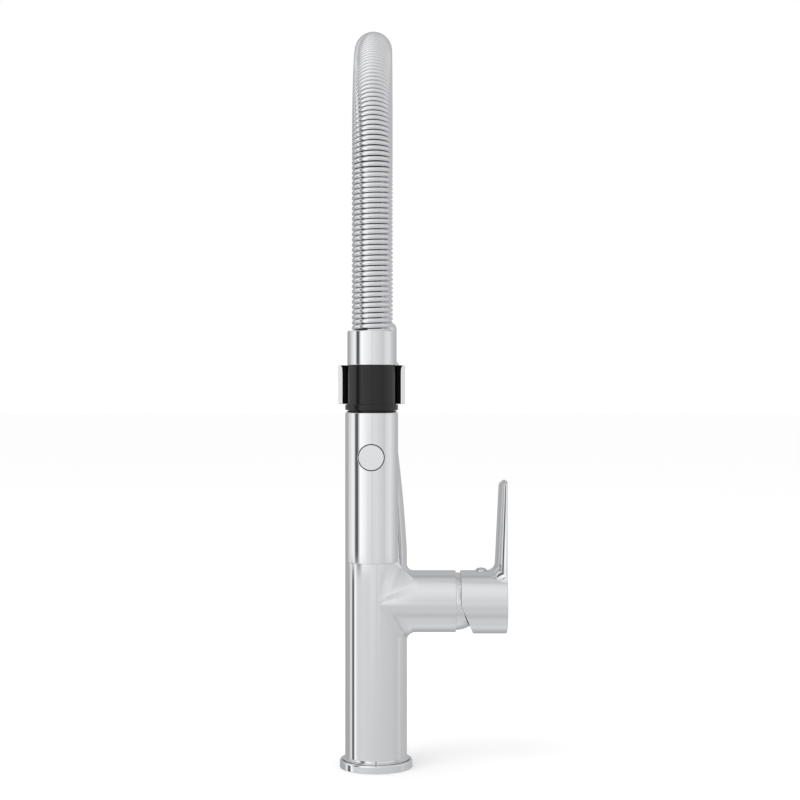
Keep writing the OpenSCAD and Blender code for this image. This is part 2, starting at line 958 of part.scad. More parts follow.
module holder_arm() {
    slope = 5.4;
    color("gainsboro")
        difference() {
            union() {
                rotate_extrude()
                    polygon([
                        [collar_r - 1, spout_z + 0.4], [collar_r + 1, spout_z + 0.4],
                        [ring_r, spout_z + slope], [ring_r, ring_top - slope],
                        [collar_r + 0.3, ring_top], [collar_r - 1, ring_top]
                    ]);
                translate([0, -reach / 2, arm_z])
                    rotate([90, 0, 0])
                        linear_extrude(height = reach, center = true)
                            arm_section();
            }
            translate([0, 0, spout_z - 1])
                cylinder(r = collar_r + fit, h = ring_h + 2);
            on_wand()
                translate([0, 0, clip_z - 5])
                    cylinder(r = band_out_r + 0.02, h = clip_h + 10);
            on_wand()
                translate([-arm_w, -reach, clip_z - 5])
                    cube([2 * arm_w, reach, clip_h + 10]);
            // hole of the clip's screw and of the set screw at the back
            translate([0, -reach + band_out_r + clip_screw_len, arm_z])
                rotate([90, 0, 0])
                    cylinder(r = clip_screw_r + fit, h = clip_screw_len + 5);
            translate([0, collar_r - 1, arm_z])
                rotate([-90, 0, 0])
                    cylinder(r = screw_r + fit, h = ring_r);
        }
}

module arm_set_screw() {
    color("silver")
        translate([0, collar_r, arm_z])
            rotate([-90, 0, 0])
                difference() {
                    cylinder(r = screw_r, h = ring_r - collar_r - 0.3);
                    translate([0, 0, ring_r - collar_r - 1.8])
                        cylinder(r = 1.4, h = 3, $fn = 6);
                }
}

// The half of a ring that lies behind the wand's axis
module half_ring(r_out, r_in, h, z0) {
    on_wand()
        intersection() {
            ring(r_out, r_in, h, z0);
            translate([-r_out - 1, 0, z0 - 1])
                cube([2 * r_out + 2, r_out + 1, h + 2]);
        }
}

module clip_band() {
    color("gainsboro")
        difference() {
            half_ring(band_out_r, band_in_r, clip_h, clip_z);
            half_ring(lip_r + fit, band_in_r - 1, lip_h + 1, clip_top - lip_h);
            on_wand()
                translate([0, 0, arm_z])
                    rotate([-90, 0, 0]) {
                        cylinder(r = clip_screw_r + fit, h = band_out_r + 5);
                        translate([0, 0, band_in_r - 1])
                            cylinder(r = clip_head_r + fit, h = 2.6);
                    }
        }
}

module clip_liner() {
    color("black")
        union() {
            half_ring(band_in_r - fit, liner_r, clip_h, clip_z);
            half_ring(lip_r, liner_r, lip_h, clip_top - lip_h);
        }
}

module clip_screw() {
    color("silver")
        on_wand()
            translate([0, 0, arm_z])
                rotate([-90, 0, 0])
                    difference() {
                        union() {
                            translate([0, 0, band_in_r + fit])
                                cylinder(r = clip_head_r, h = 1.5);
                            translate([0, 0, band_in_r + fit])
                                cylinder(r = clip_screw_r, h = clip_screw_len);
                        }
                        translate([0, 0, band_in_r])
                            cylinder(r = 1.2, h = 1, $fn = 6);
                    }
}

// Threaded tail with a hexagon and a hose nipple; the children's +Z points up the hose
module hose_tail(z0, thread_h) {
    translate([0, 0, z0])
        difference() {
            union() {
                translate([0, 0, -thread_h])
                    cylinder(r = tail_r, h = thread_h);
                cylinder(r = hex_r, h = hex_h, $fn = 6);
                cylinder(r = nipple_r, h = hex_h + nipple_len);
            }
            translate([0, 0, -thread_h - 1])
                cylinder(r = tail_bore_r, h = thread_h + hex_h + nipple_len + 2);
        }
}

module hose_tail_rear() {
    color("goldenrod")
        hose_tail(rear_tail_z, 5.8);
}

module hose_sleeve_rear() {
    color("silver")
        ring(crimp_r, hose_r + fit, nipple_len, rear_tail_z + hex_h + 0.1);
}

module hose_sleeve_front() {
    color("silver")
        on_wand()
            ring(crimp_r, hose_r + fit, nipple_len - 2, front_tail_z + hex_h + 0.1);
}

module inner_hose() {
    rear_z = rear_tail_z + hex_h + 0.1;
    front_z = front_tail_z + hex_h + 0.1;
    color("dimgray")
        union() {
            ring(hose_r, hose_bore_r, arch_z - rear_z, rear_z);
            translate([0, -arch_r, arch_z])
                rotate([90, 0, 90])
                    rotate_extrude(angle = 180)
                        translate([arch_r, 0])
                            difference() {
                                circle(r = hose_r);
                                circle(r = hose_bore_r);
                            }
            on_wand()
                ring(hose_r, hose_bore_r, arch_z - front_z, front_z);
        }
}

arch_len = leg_h + PI * arch_r + arch_z - wand_top;
arch_steps = coil_steps(arch_len, coil_r, wire_d, curls);
arch_centres = [for (p = arch_steps) arch_wire(p[0], p[1])];
echo(least_gap_of_arch_spring_mm = least_gap(arch_centres, wire_d));

module arch_spring() {
    outs = [for (p = arch_steps) cos(p[1]) * [1, 0, 0] + sin(p[1]) * arch_out(p[0])];
    color("gainsboro")
        wire_tube(arch_centres, outs, wire_d / 2);
}

// ---------------------------------------------------------------- wand

module wand_collar() {
    color("gainsboro")
        on_wand()
            difference() {
                rotate_extrude()
                    polygon([
                        [0, wand_z], [collar_r, wand_z], [collar_r, wand_top - 0.5],
                        [collar_r - 0.5, wand_top], [0, wand_top]
                    ]);
                translate([0, 0, wand_z - 1])
                    cylinder(r = tail_r + fit, h = wand_collar_h + 2);
                translate([0, 0, front_tail_z])
                    cylinder(r = hose_well_r, h = wand_collar_h);
            }
}

// Its post is the swivel that the sleeve turns on
module hose_tail_front() {
    thread_h = front_tail_z - sleeve_top;
    groove_z = web_z - 1.8;
    color("goldenrod")
        on_wand()
            difference() {
                union() {
                    hose_tail(front_tail_z, thread_h);
                    translate([0, 0, post_z])
                        cylinder(r = post_r, h = sleeve_top - post_z + 1);
                }
                translate([0, 0, post_z - 1])
                    cylinder(r = tail_bore_r, h = wand_collar_h + web_h);
                for (z = [web_z + 5, web_z + 10])
                    ring(post_r + 1, post_r - 1.2, 1.8, z - 0.9);
                ring(post_r + 1, post_r - 1, 1.2, groove_z - 0.1);
            }
}

module tail_o_rings() {
    color("black")
        on_wand()
            for (z = [web_z + 5, web_z + 10])
                o_ring(post_r - 0.4, 0.75, z);
}

module tail_circlip() {
    groove_z = web_z - 1.8;
    color("silver")
        on_wand()
            difference() {
                ring(post_r + 1.5, post_r - 0.9, 1, groove_z);
                translate([0, -1.5, groove_z - 1])
                    cube([post_r + 3, 3, 3]);
            }
}

module wand_sleeve() {
    thread_z = barrel_top - sleeve_thread_h;
    color("black")
        on_wand()
            difference() {
                rotate_extrude()
                    polygon([
                        [0, thread_z], [inner_r, thread_z], [inner_r, barrel_top],
                        [barrel_r - 0.4, barrel_top], [barrel_r, barrel_top + 0.4],
                        [barrel_r, sleeve_z], [sleeve_d / 2, sleeve_z],
                        [sleeve_d / 2, sleeve_top], [0, sleeve_top]
                    ]);
                translate([0, 0, thread_z - 1])
                    cylinder(r = post_r + 0.45, h = sleeve_top);
                translate([0, 0, thread_z - 1])
                    cylinder(r = well_r, h = web_z - thread_z + 1);
            }
}

module wand_barrel() {
    color("gainsboro")
        difference() {
            on_wand()
                difference() {
                    rotate_extrude()
                        polygon([
                            [0, outlet_z], [barrel_r - 0.6, outlet_z],
                            [barrel_r, outlet_z + 0.6], [barrel_r, barrel_top - 1.7],
                            [barrel_r - shoulder_c, barrel_top], [0, barrel_top]
                        ]);
                    translate([0, 0, outlet_z - 1])
                        cylinder(r = barrel_in_r, h = barrel_h + 2);
                }
            on_button()
                cylinder(r = button_r + button_clear, h = barrel_d);
        }
}

module check_valve() {
    valve_len = 11;
    color("white")
        on_wand()
            difference() {
                ring(well_r - fit, 2.5, valve_len, barrel_top - sleeve_thread_h + 0.2);
                ring(well_r + 1, well_r - 1.6, 1.8, barrel_top - sleeve_thread_h + 4);
            }
}

module diverter_body() {
    color("darkslategray")
        difference() {
            on_wand()
                difference() {
                    translate([0, 0, body_low])
                        cylinder(r = inner_r, h = body_high - body_low);
                    // inlet above the spool, jet outlet on the axis, spray outlets round it
                    translate([0, 0, button_z])
                        cylinder(r = 3, h = body_high);
                    translate([0, 0, body_low - 1])
                        cylinder(r = 3, h = body_drop + 1);
                    translate([0, 0, body_low - 1])
                        cylinder(r = tube_r + fit, h = 6);
                    for (a = [0 : 90 : 270])
                        rotate([0, 0, a + 45])
                            translate([nozzle_pcd_r, 0, body_low - 1])
                                cylinder(r = 1.6, h = body_drop - 6);
                    for (z = diverter_ring_z)
                        ring(inner_r + 1, inner_r - 1.9, 2.4, z - 1.2);
                }
            on_button() {
                translate([0, 0, button_floor])
                    cylinder(r = button_r + button_clear, h = barrel_d);
                translate([0, 0, button_floor - spring_pocket])
                    cylinder(r = button_coil_r + 1.2, h = barrel_d);
                translate([0, 0, -spool_back - button_travel - 0.5])
                    cylinder(r = spool_bore_r, h = barrel_d);
            }
        }
}

module diverter_o_rings() {
    color("black")
        on_wand()
            for (z = diverter_ring_z)
                o_ring(inner_r - 0.85, 0.85, z);
}

module jet_tube() {
    low = outlet_z + face_inset + aerator_h + 0.2;
    color("ivory")
        on_wand()
            ring(tube_r, tube_r - 1.2, body_low + 4.8 - low, low);
}

module spray_face() {
    boss_h = aerator_h - 1;
    color("dimgray")
        on_wand()
            difference() {
                union() {
                    translate([0, 0, outlet_z + face_inset])
                        cylinder(r = inner_r, h = face_h);
                    translate([0, 0, outlet_z + face_inset])
                        cylinder(r = aerator_r + 1.6, h = boss_h);
                }
                translate([0, 0, outlet_z])
                    cylinder(r = aerator_r + fit, h = boss_h + 2);
                for (i = [0 : nozzle_count - 1])
                    rotate([0, 0, 360 * i / nozzle_count])
                        translate([nozzle_pcd_r, 0, outlet_z])
                            cylinder(r = nozzle_r + fit, h = face_h + 2);
            }
}

// One soft ring whose nozzles stand through the spray face
module nozzle_ring() {
    top_z = outlet_z + face_inset + face_h;
    color("gray")
        on_wand()
            difference() {
                union() {
                    ring(nozzle_pcd_r + 1.7, nozzle_pcd_r - 1.7, 1.2, top_z);
                    for (i = [0 : nozzle_count - 1])
                        rotate([0, 0, 360 * i / nozzle_count])
                            translate([nozzle_pcd_r, 0, outlet_z + 0.1])
                                cylinder(r = nozzle_r, h = face_h + 1);
                }
                for (i = [0 : nozzle_count - 1])
                    rotate([0, 0, 360 * i / nozzle_count])
                        translate([nozzle_pcd_r, 0, outlet_z - 1])
                            cylinder(r = 0.4, h = face_h + 4);
            }
}

module aerator() {
    color("silver")
        on_wand()
            difference() {
                translate([0, 0, outlet_z + face_inset])
                    cylinder(r = aerator_r, h = aerator_h);
                translate([0, 0, outlet_z])
                    cylinder(r = aerator_r - 1.2, h = 3);
                translate([0, 0, outlet_z])
                    cylinder(r = 2, h = aerator_h + 2);
                translate([0, 0, outlet_z + aerator_h - 3])
                    cylinder(r = aerator_r - 1.2, h = 5);
            }
}

// ---------------------------------------------------------------- button

module button_cap() {
    color("gainsboro")
        on_button()
            difference() {
                rotate_extrude()
                    polygon([
                        [0, button_face - button_t], [button_r, button_face - button_t],
                        [button_r, button_face - 0.4], [button_r - 0.4, button_face],
                        [0, button_face]
                    ]);
                translate([0, 0, button_face - button_t - 1])
                    cylinder(r = 2.5 + fit, h = 3);
            }
}

module diverter_spool() {
    stem_top = button_face - button_t + 1.9;
    color("ivory")
        on_button() {
            translate([0, 0, -spool_back])
                cylinder(r = 2.5, h = stem_top + spool_back);
            translate([0, 0, -spool_back])
                cylinder(r = spool_r, h = 4);
            translate([0, 0, 3.5])
                cylinder(r = spool_r, h = 3);
        }
}

button_spring_z = button_floor - spring_pocket;
button_steps = coil_steps(button_face - button_t - button_spring_z, button_coil_r, button_wire, button_curls);
button_centres = [
    for (p = button_steps)
        [button_coil_r * cos(p[1]), button_coil_r * sin(p[1]), button_spring_z + p[0]]
];
echo(least_gap_of_button_spring_mm = least_gap(button_centres, button_wire));

module button_spring() {
    outs = [for (p = button_steps) [cos(p[1]), sin(p[1]), 0]];
    color("silver")
        on_button()
            wire_tube(button_centres, outs, button_wire / 2);
}

// ---------------------------------------------------------------- one node at a time

column_body();
base_flange();
base_seal();
mounting_base();
base_o_ring();
supply_tube_hot();
supply_tube_cold();
swivel_bush_lower();
swivel_bush_upper();
thrust_washer();
spout_retaining_screw();
cartridge_base();
cartridge_seals();
fixed_disc();
cartridge_housing();
cartridge_nut();
trim_dome();
moving_disc();
disc_coupler();
carrier();
carrier_o_ring();
stem_pin();
lever_stem();
lever_handle();
handle_set_screw();
index_plug();
spout_collar();
spigot_o_rings();
holder_arm();
arm_set_screw();
clip_band();
clip_liner();
clip_screw();
hose_tail_rear();
hose_sleeve_rear();
inner_hose();
arch_spring();
wand_collar();
hose_tail_front();
hose_sleeve_front();
tail_o_rings();
tail_circlip();
wand_sleeve();
wand_barrel();
check_valve();
diverter_body();
diverter_o_rings();
jet_tube();
spray_face();
nozzle_ring();
aerator();
button_cap();
diverter_spool();
button_spring();
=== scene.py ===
# %% [markdown]
# # A spring spout kitchen mixer, dressed for the studio
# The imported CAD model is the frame: it says where every piece sits and what it
# turns with. Each outer piece is then made again as a fine surface with exact
# normals, because polished chrome shows the flats of a coarse mesh at once. The
# inner pieces stay as the CAD model gives them, and only get a finish.
# %% Load the frame
import math

import bpy
import numpy as np
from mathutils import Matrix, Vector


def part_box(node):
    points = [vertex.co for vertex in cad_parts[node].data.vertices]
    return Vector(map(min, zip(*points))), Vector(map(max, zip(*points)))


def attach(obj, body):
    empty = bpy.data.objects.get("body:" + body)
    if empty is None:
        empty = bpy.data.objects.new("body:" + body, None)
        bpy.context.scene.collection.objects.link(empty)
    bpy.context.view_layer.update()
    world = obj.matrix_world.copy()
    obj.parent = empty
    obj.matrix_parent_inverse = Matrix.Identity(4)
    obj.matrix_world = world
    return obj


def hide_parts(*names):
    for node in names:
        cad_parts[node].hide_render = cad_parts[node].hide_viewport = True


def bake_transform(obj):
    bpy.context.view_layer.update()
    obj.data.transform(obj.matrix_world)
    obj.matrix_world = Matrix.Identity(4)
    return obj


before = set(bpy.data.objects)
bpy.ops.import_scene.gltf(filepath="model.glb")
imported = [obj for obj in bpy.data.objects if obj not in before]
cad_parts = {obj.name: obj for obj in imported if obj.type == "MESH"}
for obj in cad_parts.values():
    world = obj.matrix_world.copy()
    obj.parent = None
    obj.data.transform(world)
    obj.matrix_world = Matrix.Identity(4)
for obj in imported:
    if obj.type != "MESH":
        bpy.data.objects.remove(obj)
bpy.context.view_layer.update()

# %% [markdown]
# ## Sizes
# The mixer is drawn in millimetres, as a maker's drawing is, and turned into
# metres only when a mesh is built. The column stands on the origin, the wand
# hangs 190 mm in front of it, and the lever's valve points to the right. Sizes
# are read from the CAD model's boxes where a box shows them, so that the dressed
# mixer follows the drawn one. Sizes that one piece needs stand beside that piece.
# %% Sizes that several pieces share
MM = 0.001
PER_MM = 20


def span(node):
    """The lowest and the highest corner of a CAD piece, in twentieths of a millimetre. The
    mesh of a round face may miss its true size by a few hundredths, which this leaves out."""
    return [np.round(np.array(corner) / MM * PER_MM) / PER_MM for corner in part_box(node)]


# The column: end of its branch, radius, top of the neck, ends of the taper, valve axis
BRANCH_END, BODY_R, NECK_TOP = span("column_body")[1]
SHOULDER_Z, NECK_Z = 162.0, 245.0
VALVE_Z, BRANCH_R = 124.2, 23.1
# The spout: its collar is as wide as the neck and stands on it with a thin gap
NECK_R, COLLAR_TOP = span("spout_collar")[1][1:]
SPOUT_Z = NECK_TOP + 0.85
CLIP_Z0, CLIP_Z1 = (corner[2] for corner in span("clip_band"))
ARM_Z = (CLIP_Z0 + CLIP_Z1) / 2
# The wand: the axis of the barrel, and the top of its collar
(_, barrel_front, BARREL_Z0), (BARREL_R, barrel_rear, BARREL_Z1) = span("wand_barrel")
WAND_Y = (barrel_front + barrel_rear) / 2
WAND = (0.0, WAND_Y)
WAND_COLLAR_Z, WAND_TOP = span("wand_collar")[0][2], 319.1
# The arch spans from column to wand as a half circle
ARCH_R, ARCH_Z = -WAND_Y / 2, 420.5
ROUND_STEPS = 192
FULL_TURN = 2 * math.pi
print("body", 2 * BODY_R, "mm wide, reach", -WAND_Y, "mm, collar top at", COLLAR_TOP, "mm")

# %% [markdown]
# ## Turning a profile
# Most of a mixer comes off a lathe, so the main tool here is a profile that is
# carried round an axis. Blender's Spin tool and a Bevel modifier could do it too,
# but a worked-out arc gives each corner its own radius and its exact normals. A
# turner never leaves a knife edge, and an edge without a radius would shade wrongly.
# %% Profiles with rounded corners


def rounded(corners, steps=6):
    """Points and outward normals of a profile whose corners are (across, along, radius).

    The material lies left of the way the profile runs. A corner becomes an arc that
    touches both its sides; one with radius 0 is a point on a smooth curve.
    """
    spots = np.array([c[:2] for c in corners], float)
    way = np.diff(spots, axis=0)
    way /= np.linalg.norm(way, axis=1, keepdims=True)
    out = np.stack([way[:, 1], -way[:, 0]], axis=1)
    points, normals = [spots[:1]], [out[:1]]
    for k, radius in enumerate([c[2] for c in corners[1:-1]], start=1):
        before, after = way[k - 1], way[k]
        turn = math.atan2(before[0] * after[1] - before[1] * after[0], before @ after)
        if radius == 0:
            mean = out[k - 1] + out[k]
            points.append(spots[k:k + 1])
            normals.append(mean[None] / np.linalg.norm(mean))
            continue
        side = 1 if turn > 0 else -1
        angle = math.atan2(out[k - 1][1], out[k - 1][0]) + turn * np.linspace(0, 1, steps + 1)
        spin = np.stack([np.cos(angle), np.sin(angle)], axis=1)
        centre = spots[k] - before * radius * math.tan(abs(turn) / 2) - side * radius * out[k - 1]
        points.append(centre + side * radius * spin)
        normals.append(spin)
    points.append(spots[-1:])
    normals.append(out[-1:])
    return np.concatenate(points), np.concatenate(normals)


def closed(profile):
    """The profile led back to its first point, which makes it the section of a ring."""
    return tuple(np.vstack([part, part[:1]]) for part in profile)


corner_points, _ = rounded([(2, 0, 0), (2, 1, 0.5), (0, 1, 0)])
print("a corner of radius 0.5 mm becomes", len(corner_points) - 2, "points")

# %% Carry a profile round an axis


def grid_quads(rows, columns, wrap=True):
    """Corner numbers of the quads of a grid; wrap joins its last column to its first."""
    number = np.arange(rows * columns).reshape(rows, columns)
    if wrap:
        number = np.hstack([number, number[:, :1]])
    corners = [number[:-1, :-1], number[:-1, 1:], number[1:, 1:], number[1:, :-1]]
    return np.stack(corners, axis=-1).reshape(-1, 4)


def directions(steps):
    """Evenly spaced angles of one full turn."""
    return np.arange(steps) * FULL_TURN / steps


def round_axis(axis, across, along, v, centre=(0.0, 0.0)):
    """Places at a distance across from an axis, in the direction v round it, and along it.

    Round X, v runs from +Y towards +Z; round Y, from +Z towards +X; round Z, from -Y
    towards +X. centre is where the axis stands, in the order of the two other letters.
    """
    along = along + 0 * v
    if axis == "X":
        place = [along, centre[0] + across * np.cos(v), centre[1] + across * np.sin(v)]
    elif axis == "Y":
        place = [centre[0] + across * np.sin(v), along, centre[1] + across * np.cos(v)]
    else:
        place = [centre[0] + across * np.sin(v), centre[1] - across * np.cos(v), along]
    return np.stack(place, axis=-1)


def grid(points, normals):
    """A grid of rows by columns as flat lists of places, normals and quads."""
    return points.reshape(-1, 3), normals.reshape(-1, 3), grid_quads(*points.shape[:2])


def lathe(profile, centre=(0.0, 0.0), axis="Z", steps=ROUND_STEPS):
    """P(u, v) = centre + across(u) * (the direction v round the axis) + along(u) * axis."""
    v = directions(steps)
    points = round_axis(axis, profile[0][:, :1], profile[0][:, 1:], v, centre)
    return grid(points, round_axis(axis, profile[1][:, :1], profile[1][:, 1:], v))


print("the lathe takes", ROUND_STEPS, "steps round")

# %% [markdown]
# ## From arrays to a mesh
# A piece may be several grids that share their border points. They are welded by
# place, which also closes every pole, and the worked-out normals go in as custom
# normals, so that a long flat face stays flat right up to its rounded edge. Smooth
# shading alone would bend the mirror image beside every edge.
# %% Weld the grids and hand them to Blender
WELD = 1e-4
TINY = 1e-9


def weld(points, normals):
    """Points nearer than a cell of WELD millimetres become one, and its normals are added up."""
    cells = np.round(points / WELD).astype(np.int64)
    _, first, same = np.unique(cells, axis=0, return_index=True, return_inverse=True)
    same = same.reshape(-1)
    summed = np.zeros((len(first), 3))
    np.add.at(summed, same, normals)
    summed /= np.maximum(np.linalg.norm(summed, axis=1, keepdims=True), TINY)
    return points[first], summed, same


def faces_of(quads):
    """Quads as they are; a quad with two welded neighbours becomes a triangle, and one with
    more disappears."""
    equal = quads == np.roll(quads, -1, axis=1)
    faces = quads[~equal.any(axis=1)].tolist()
    for k in range(4):
        thin = quads[equal[:, k] & (equal.sum(axis=1) == 1)]
        faces += np.delete(thin, k, axis=1).tolist()
    return faces


def build(name, grids, body, finish, node):
    """One object from grids of (points, normals, quads) in millimetres."""
    starts = np.cumsum([0] + [len(g[0]) for g in grids[:-1]])
    points = np.concatenate([g[0] for g in grids])
    quads = np.concatenate([g[2] + s for g, s in zip(grids, starts)])
    spots, normals, same = weld(points, np.concatenate([g[1] for g in grids]))
    faces = faces_of(same[quads])
    mesh = bpy.data.meshes.new(name)
    mesh.from_pydata((spots * MM).tolist(), [], faces)
    mesh.shade_smooth()
    mesh.normals_split_custom_set_from_vertices(normals.tolist())
    mesh.materials.append(finish)
    piece = bpy.data.objects.new(name, mesh)
    bpy.context.scene.collection.objects.link(piece)
    if body:
        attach(piece, body)
    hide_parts(node)
    size = (points.max(axis=0) - points.min(axis=0)).round(1)
    print(f"{name}: {len(spots)} points, {len(faces)} faces, {size.tolist()} mm")
    return piece


print("points nearer than about", WELD, "mm are welded")

# %% [markdown]
# ## Chrome
# The brass pieces are polished and plated with nickel and a thin coat of chrome.
# Such a mirror has almost no colour of its own. Two faint things keep it from
# looking like a computer's mirror: the roughness drifts a little where the buffing
# wheel passed, and the face has a very shallow waviness left from polishing.
# %% A finish with drifting roughness and a shallow bump
NOISE_LOW, NOISE_HIGH = 0.3, 0.7


def finish_of(name, colour, metallic=0.0, rough=(0.3, 0.4), grain=60.0, bump=(0.0, 400.0),
              ior=1.5, tint=None, gloss=0.5):
    """A Principled finish. Noise on Object coordinates, at the scale grain, moves roughness
    between two values and may mix in a second tint. A finer noise, at the scale bump[1],
    lifts the surface by bump[0] metres."""
    made = bpy.data.materials.new(name)
    made.use_nodes = True
    tree = made.node_tree
    shader = tree.nodes["Principled BSDF"]
    shader.inputs["Base Color"].default_value = (*colour, 1)
    shader.inputs["Metallic"].default_value = metallic
    shader.inputs["IOR"].default_value = ior
    shader.inputs["Specular IOR Level"].default_value = gloss
    place = tree.nodes.new("ShaderNodeTexCoord")
    drift = tree.nodes.new("ShaderNodeTexNoise")
    drift.inputs["Scale"].default_value = grain
    drift.inputs["Detail"].default_value = 4
    tree.links.new(place.outputs["Object"], drift.inputs["Vector"])
    spread = tree.nodes.new("ShaderNodeMapRange")
    spread.inputs["From Min"].default_value = NOISE_LOW
    spread.inputs["From Max"].default_value = NOISE_HIGH
    spread.inputs["To Min"].default_value, spread.inputs["To Max"].default_value = rough
    tree.links.new(drift.outputs["Fac"], spread.inputs["Value"])
    tree.links.new(spread.outputs["Result"], shader.inputs["Roughness"])
    if tint:
        mix = tree.nodes.new("ShaderNodeMix")
        mix.data_type = "RGBA"
        mix.inputs["A"].default_value = (*colour, 1)
        mix.inputs["B"].default_value = (*tint, 1)
        tree.links.new(drift.outputs["Fac"], mix.inputs["Factor"])
        tree.links.new(mix.outputs["Result"], shader.inputs["Base Color"])
    if bump[0]:
        ripple = tree.nodes.new("ShaderNodeTexNoise")
        ripple.inputs["Scale"].default_value = bump[1]
        tree.links.new(place.outputs["Object"], ripple.inputs["Vector"])
        lift = tree.nodes.new("ShaderNodeBump")
        lift.inputs["Distance"].default_value = bump[0]
        tree.links.new(ripple.outputs["Fac"], lift.inputs["Height"])
        tree.links.new(lift.outputs["Normal"], shader.inputs["Normal"])
    return made


CHROME = (0.812, 0.82, 0.838)
chrome = finish_of("polished_chrome", CHROME, 1.0, (0.025, 0.045), 40, (0.000003, 60))
spring_chrome = finish_of("chromed_wire", (0.845, 0.85, 0.872), 1.0, (0.02, 0.04), 90)
print("chrome finishes ready")

# %% [markdown]
# ## Plastics, rubber and bare metals
# The sleeve that the hand holds is glossy black moulded plastic, which shows the
# studio faintly. The clip's liner is a matt rubber, so that the wand doesn't
# rattle. The metals and plastics inside are seen through gaps, and from below.
# One function makes them all, because they differ only in colour, roughness and
# grain. A CAD piece names its finish by its slot.
# %% Plastics and rubber
black_plastic = finish_of(
    "black_plastic", (0.008, 0.008, 0.008), 0, (0.08, 0.13), 200, (0.000003, 900), ior=1.42
)
black_rubber = finish_of(
    "black_rubber", (0.002, 0.002, 0.002), 0, (0.55, 0.7), 700, (0.00001, 2500), 1.3, gloss=0.15
)
hose_jacket = finish_of(
    "hose_jacket", (0.16, 0.165, 0.17), 0, (0.4, 0.55), 300, (0.00002, 1200),
    tint=(0.22, 0.225, 0.23)
)
FINISH_OF_SLOT = {
    "chrome_body": chrome,
    "chrome_wire": spring_chrome,
    "soft_black": black_plastic,
    "hose_grey": hose_jacket,
    "rubber_black": finish_of(
        "seal_rubber", (0.02, 0.02, 0.02), 0, (0.5, 0.65), 500, (0.00001, 1500)
    ),
    "nozzle_rubber": finish_of(
        "nozzle_rubber", (0.3, 0.305, 0.31), 0, (0.5, 0.6), 600, (0.00001, 2000)
    ),
    "face_grey": finish_of(
        "face_plastic", (0.52, 0.525, 0.53), 0, (0.3, 0.42), 400, (0.000008, 1800)
    ),
    "plastic_ivory": finish_of("ivory_plastic", (0.78, 0.75, 0.66), 0, (0.35, 0.45), 300),
    "plastic_white": finish_of("white_plastic", (0.82, 0.82, 0.8), 0, (0.35, 0.45), 300),
    "plastic_grey": finish_of("grey_plastic", (0.35, 0.36, 0.37), 0, (0.35, 0.45), 300),
}
print(len(FINISH_OF_SLOT), "finishes so far, with chrome")

# %% Metals and ceramic, then a finish for every CAD piece
plug_metal = finish_of("plug_metal", (0.72, 0.725, 0.74), 1, (0.06, 0.1), 300)
FINISH_OF_SLOT.update({
    "plug_grey": plug_metal,
    "ceramic": finish_of("white_ceramic", (0.86, 0.85, 0.83), 0, (0.08, 0.14), 200, ior=1.7),
    "brass": finish_of(
        "turned_brass", (0.78, 0.6, 0.28), 1, (0.22, 0.34), 350, tint=(0.7, 0.52, 0.24)
    ),
    "copper": finish_of(
        "drawn_copper", (0.8, 0.44, 0.29), 1, (0.2, 0.32), 250, tint=(0.72, 0.37, 0.23)
    ),
    "steel": finish_of("stainless_steel", (0.62, 0.62, 0.63), 1, (0.24, 0.34), 500),
})
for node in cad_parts.values():
    for spot in node.material_slots:
        spot.material = FINISH_OF_SLOT[spot.material.name.split(".")[0]]
print(len(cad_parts), "CAD pieces have a finish, out of", len(FINISH_OF_SLOT))

# %% [markdown]
# ## The column
# The body is one casting: a straight foot, a long taper that shrinks to the neck,
# and a branch to the right that holds the cartridge. It is turned, so it is a lathe
# profile here. A Subdivision Surface over a coarse cage would do for the taper, but
# it would round the foot and the mouth too. The taper is a gentle curve, and its two
# ends are blended with a large radius, as a polishing belt leaves them.
# %% Profile of the column
# Inside the flange the foot is a little slimmer; the mouth takes the collar's spigot
COLUMN_BASE, FOOT_STEP = 0.4, 0.4
MOUTH_R, MOUTH_FLOOR = 11.0, 255.0
SHOULDER_BLEND, NECK_BLEND = 90, 40


def taper_r(t):
    """Radius at the share t of the taper: it has lost 0.6 t + 0.4 t^2 of the whole."""
    return BODY_R - (BODY_R - NECK_R) * (0.6 * t + 0.4 * t * t)


taper = [
    (taper_r(t), SHOULDER_Z + (NECK_Z - SHOULDER_Z) * t, 0) for t in np.linspace(0.1, 0.9, 17)
]
column_shell = lathe(rounded([
    (0, COLUMN_BASE, 0), (BODY_R - FOOT_STEP, COLUMN_BASE, 0.2), (BODY_R - FOOT_STEP, 7.6, 0.2),
    (BODY_R, 8.1, 0.3), (BODY_R, SHOULDER_Z, SHOULDER_BLEND), *taper,
    (NECK_R, NECK_Z, NECK_BLEND), (NECK_R, NECK_TOP, 0.4), (MOUTH_R, NECK_TOP, 0.2),
    (MOUTH_R, MOUTH_FLOOR, 0.2), (0, MOUTH_FLOOR, 0),
]))
print("the taper runs from", SHOULDER_Z, "to", NECK_Z, "mm in", len(taper) + 1, "parts")

# %% [markdown]
# ## The branch
# Where the branch leaves the column, the casting has a soft inside radius. It is
# worked out as a ball that rolls in the corner and touches both cylinders: its
# centre is one ball radius away from each, and the fillet is the arc between the
# two touching points. A plain union would leave a hard line that no casting has.
# %% Turning one direction into another, and the size of the ball


def swing(start, end, share):
    """The direction turned from start towards end by a share t of the angle A between
    them: start * sin((1 - t) A) / sin A + end * sin(t A) / sin A."""
    angle = np.arccos(np.clip((start * end).sum(axis=-1), -1, 1))
    first = np.sin((1 - share) * angle) / np.sin(angle)
    second = np.sin(share * angle) / np.sin(angle)
    return first[..., None] * start + second[..., None] * end


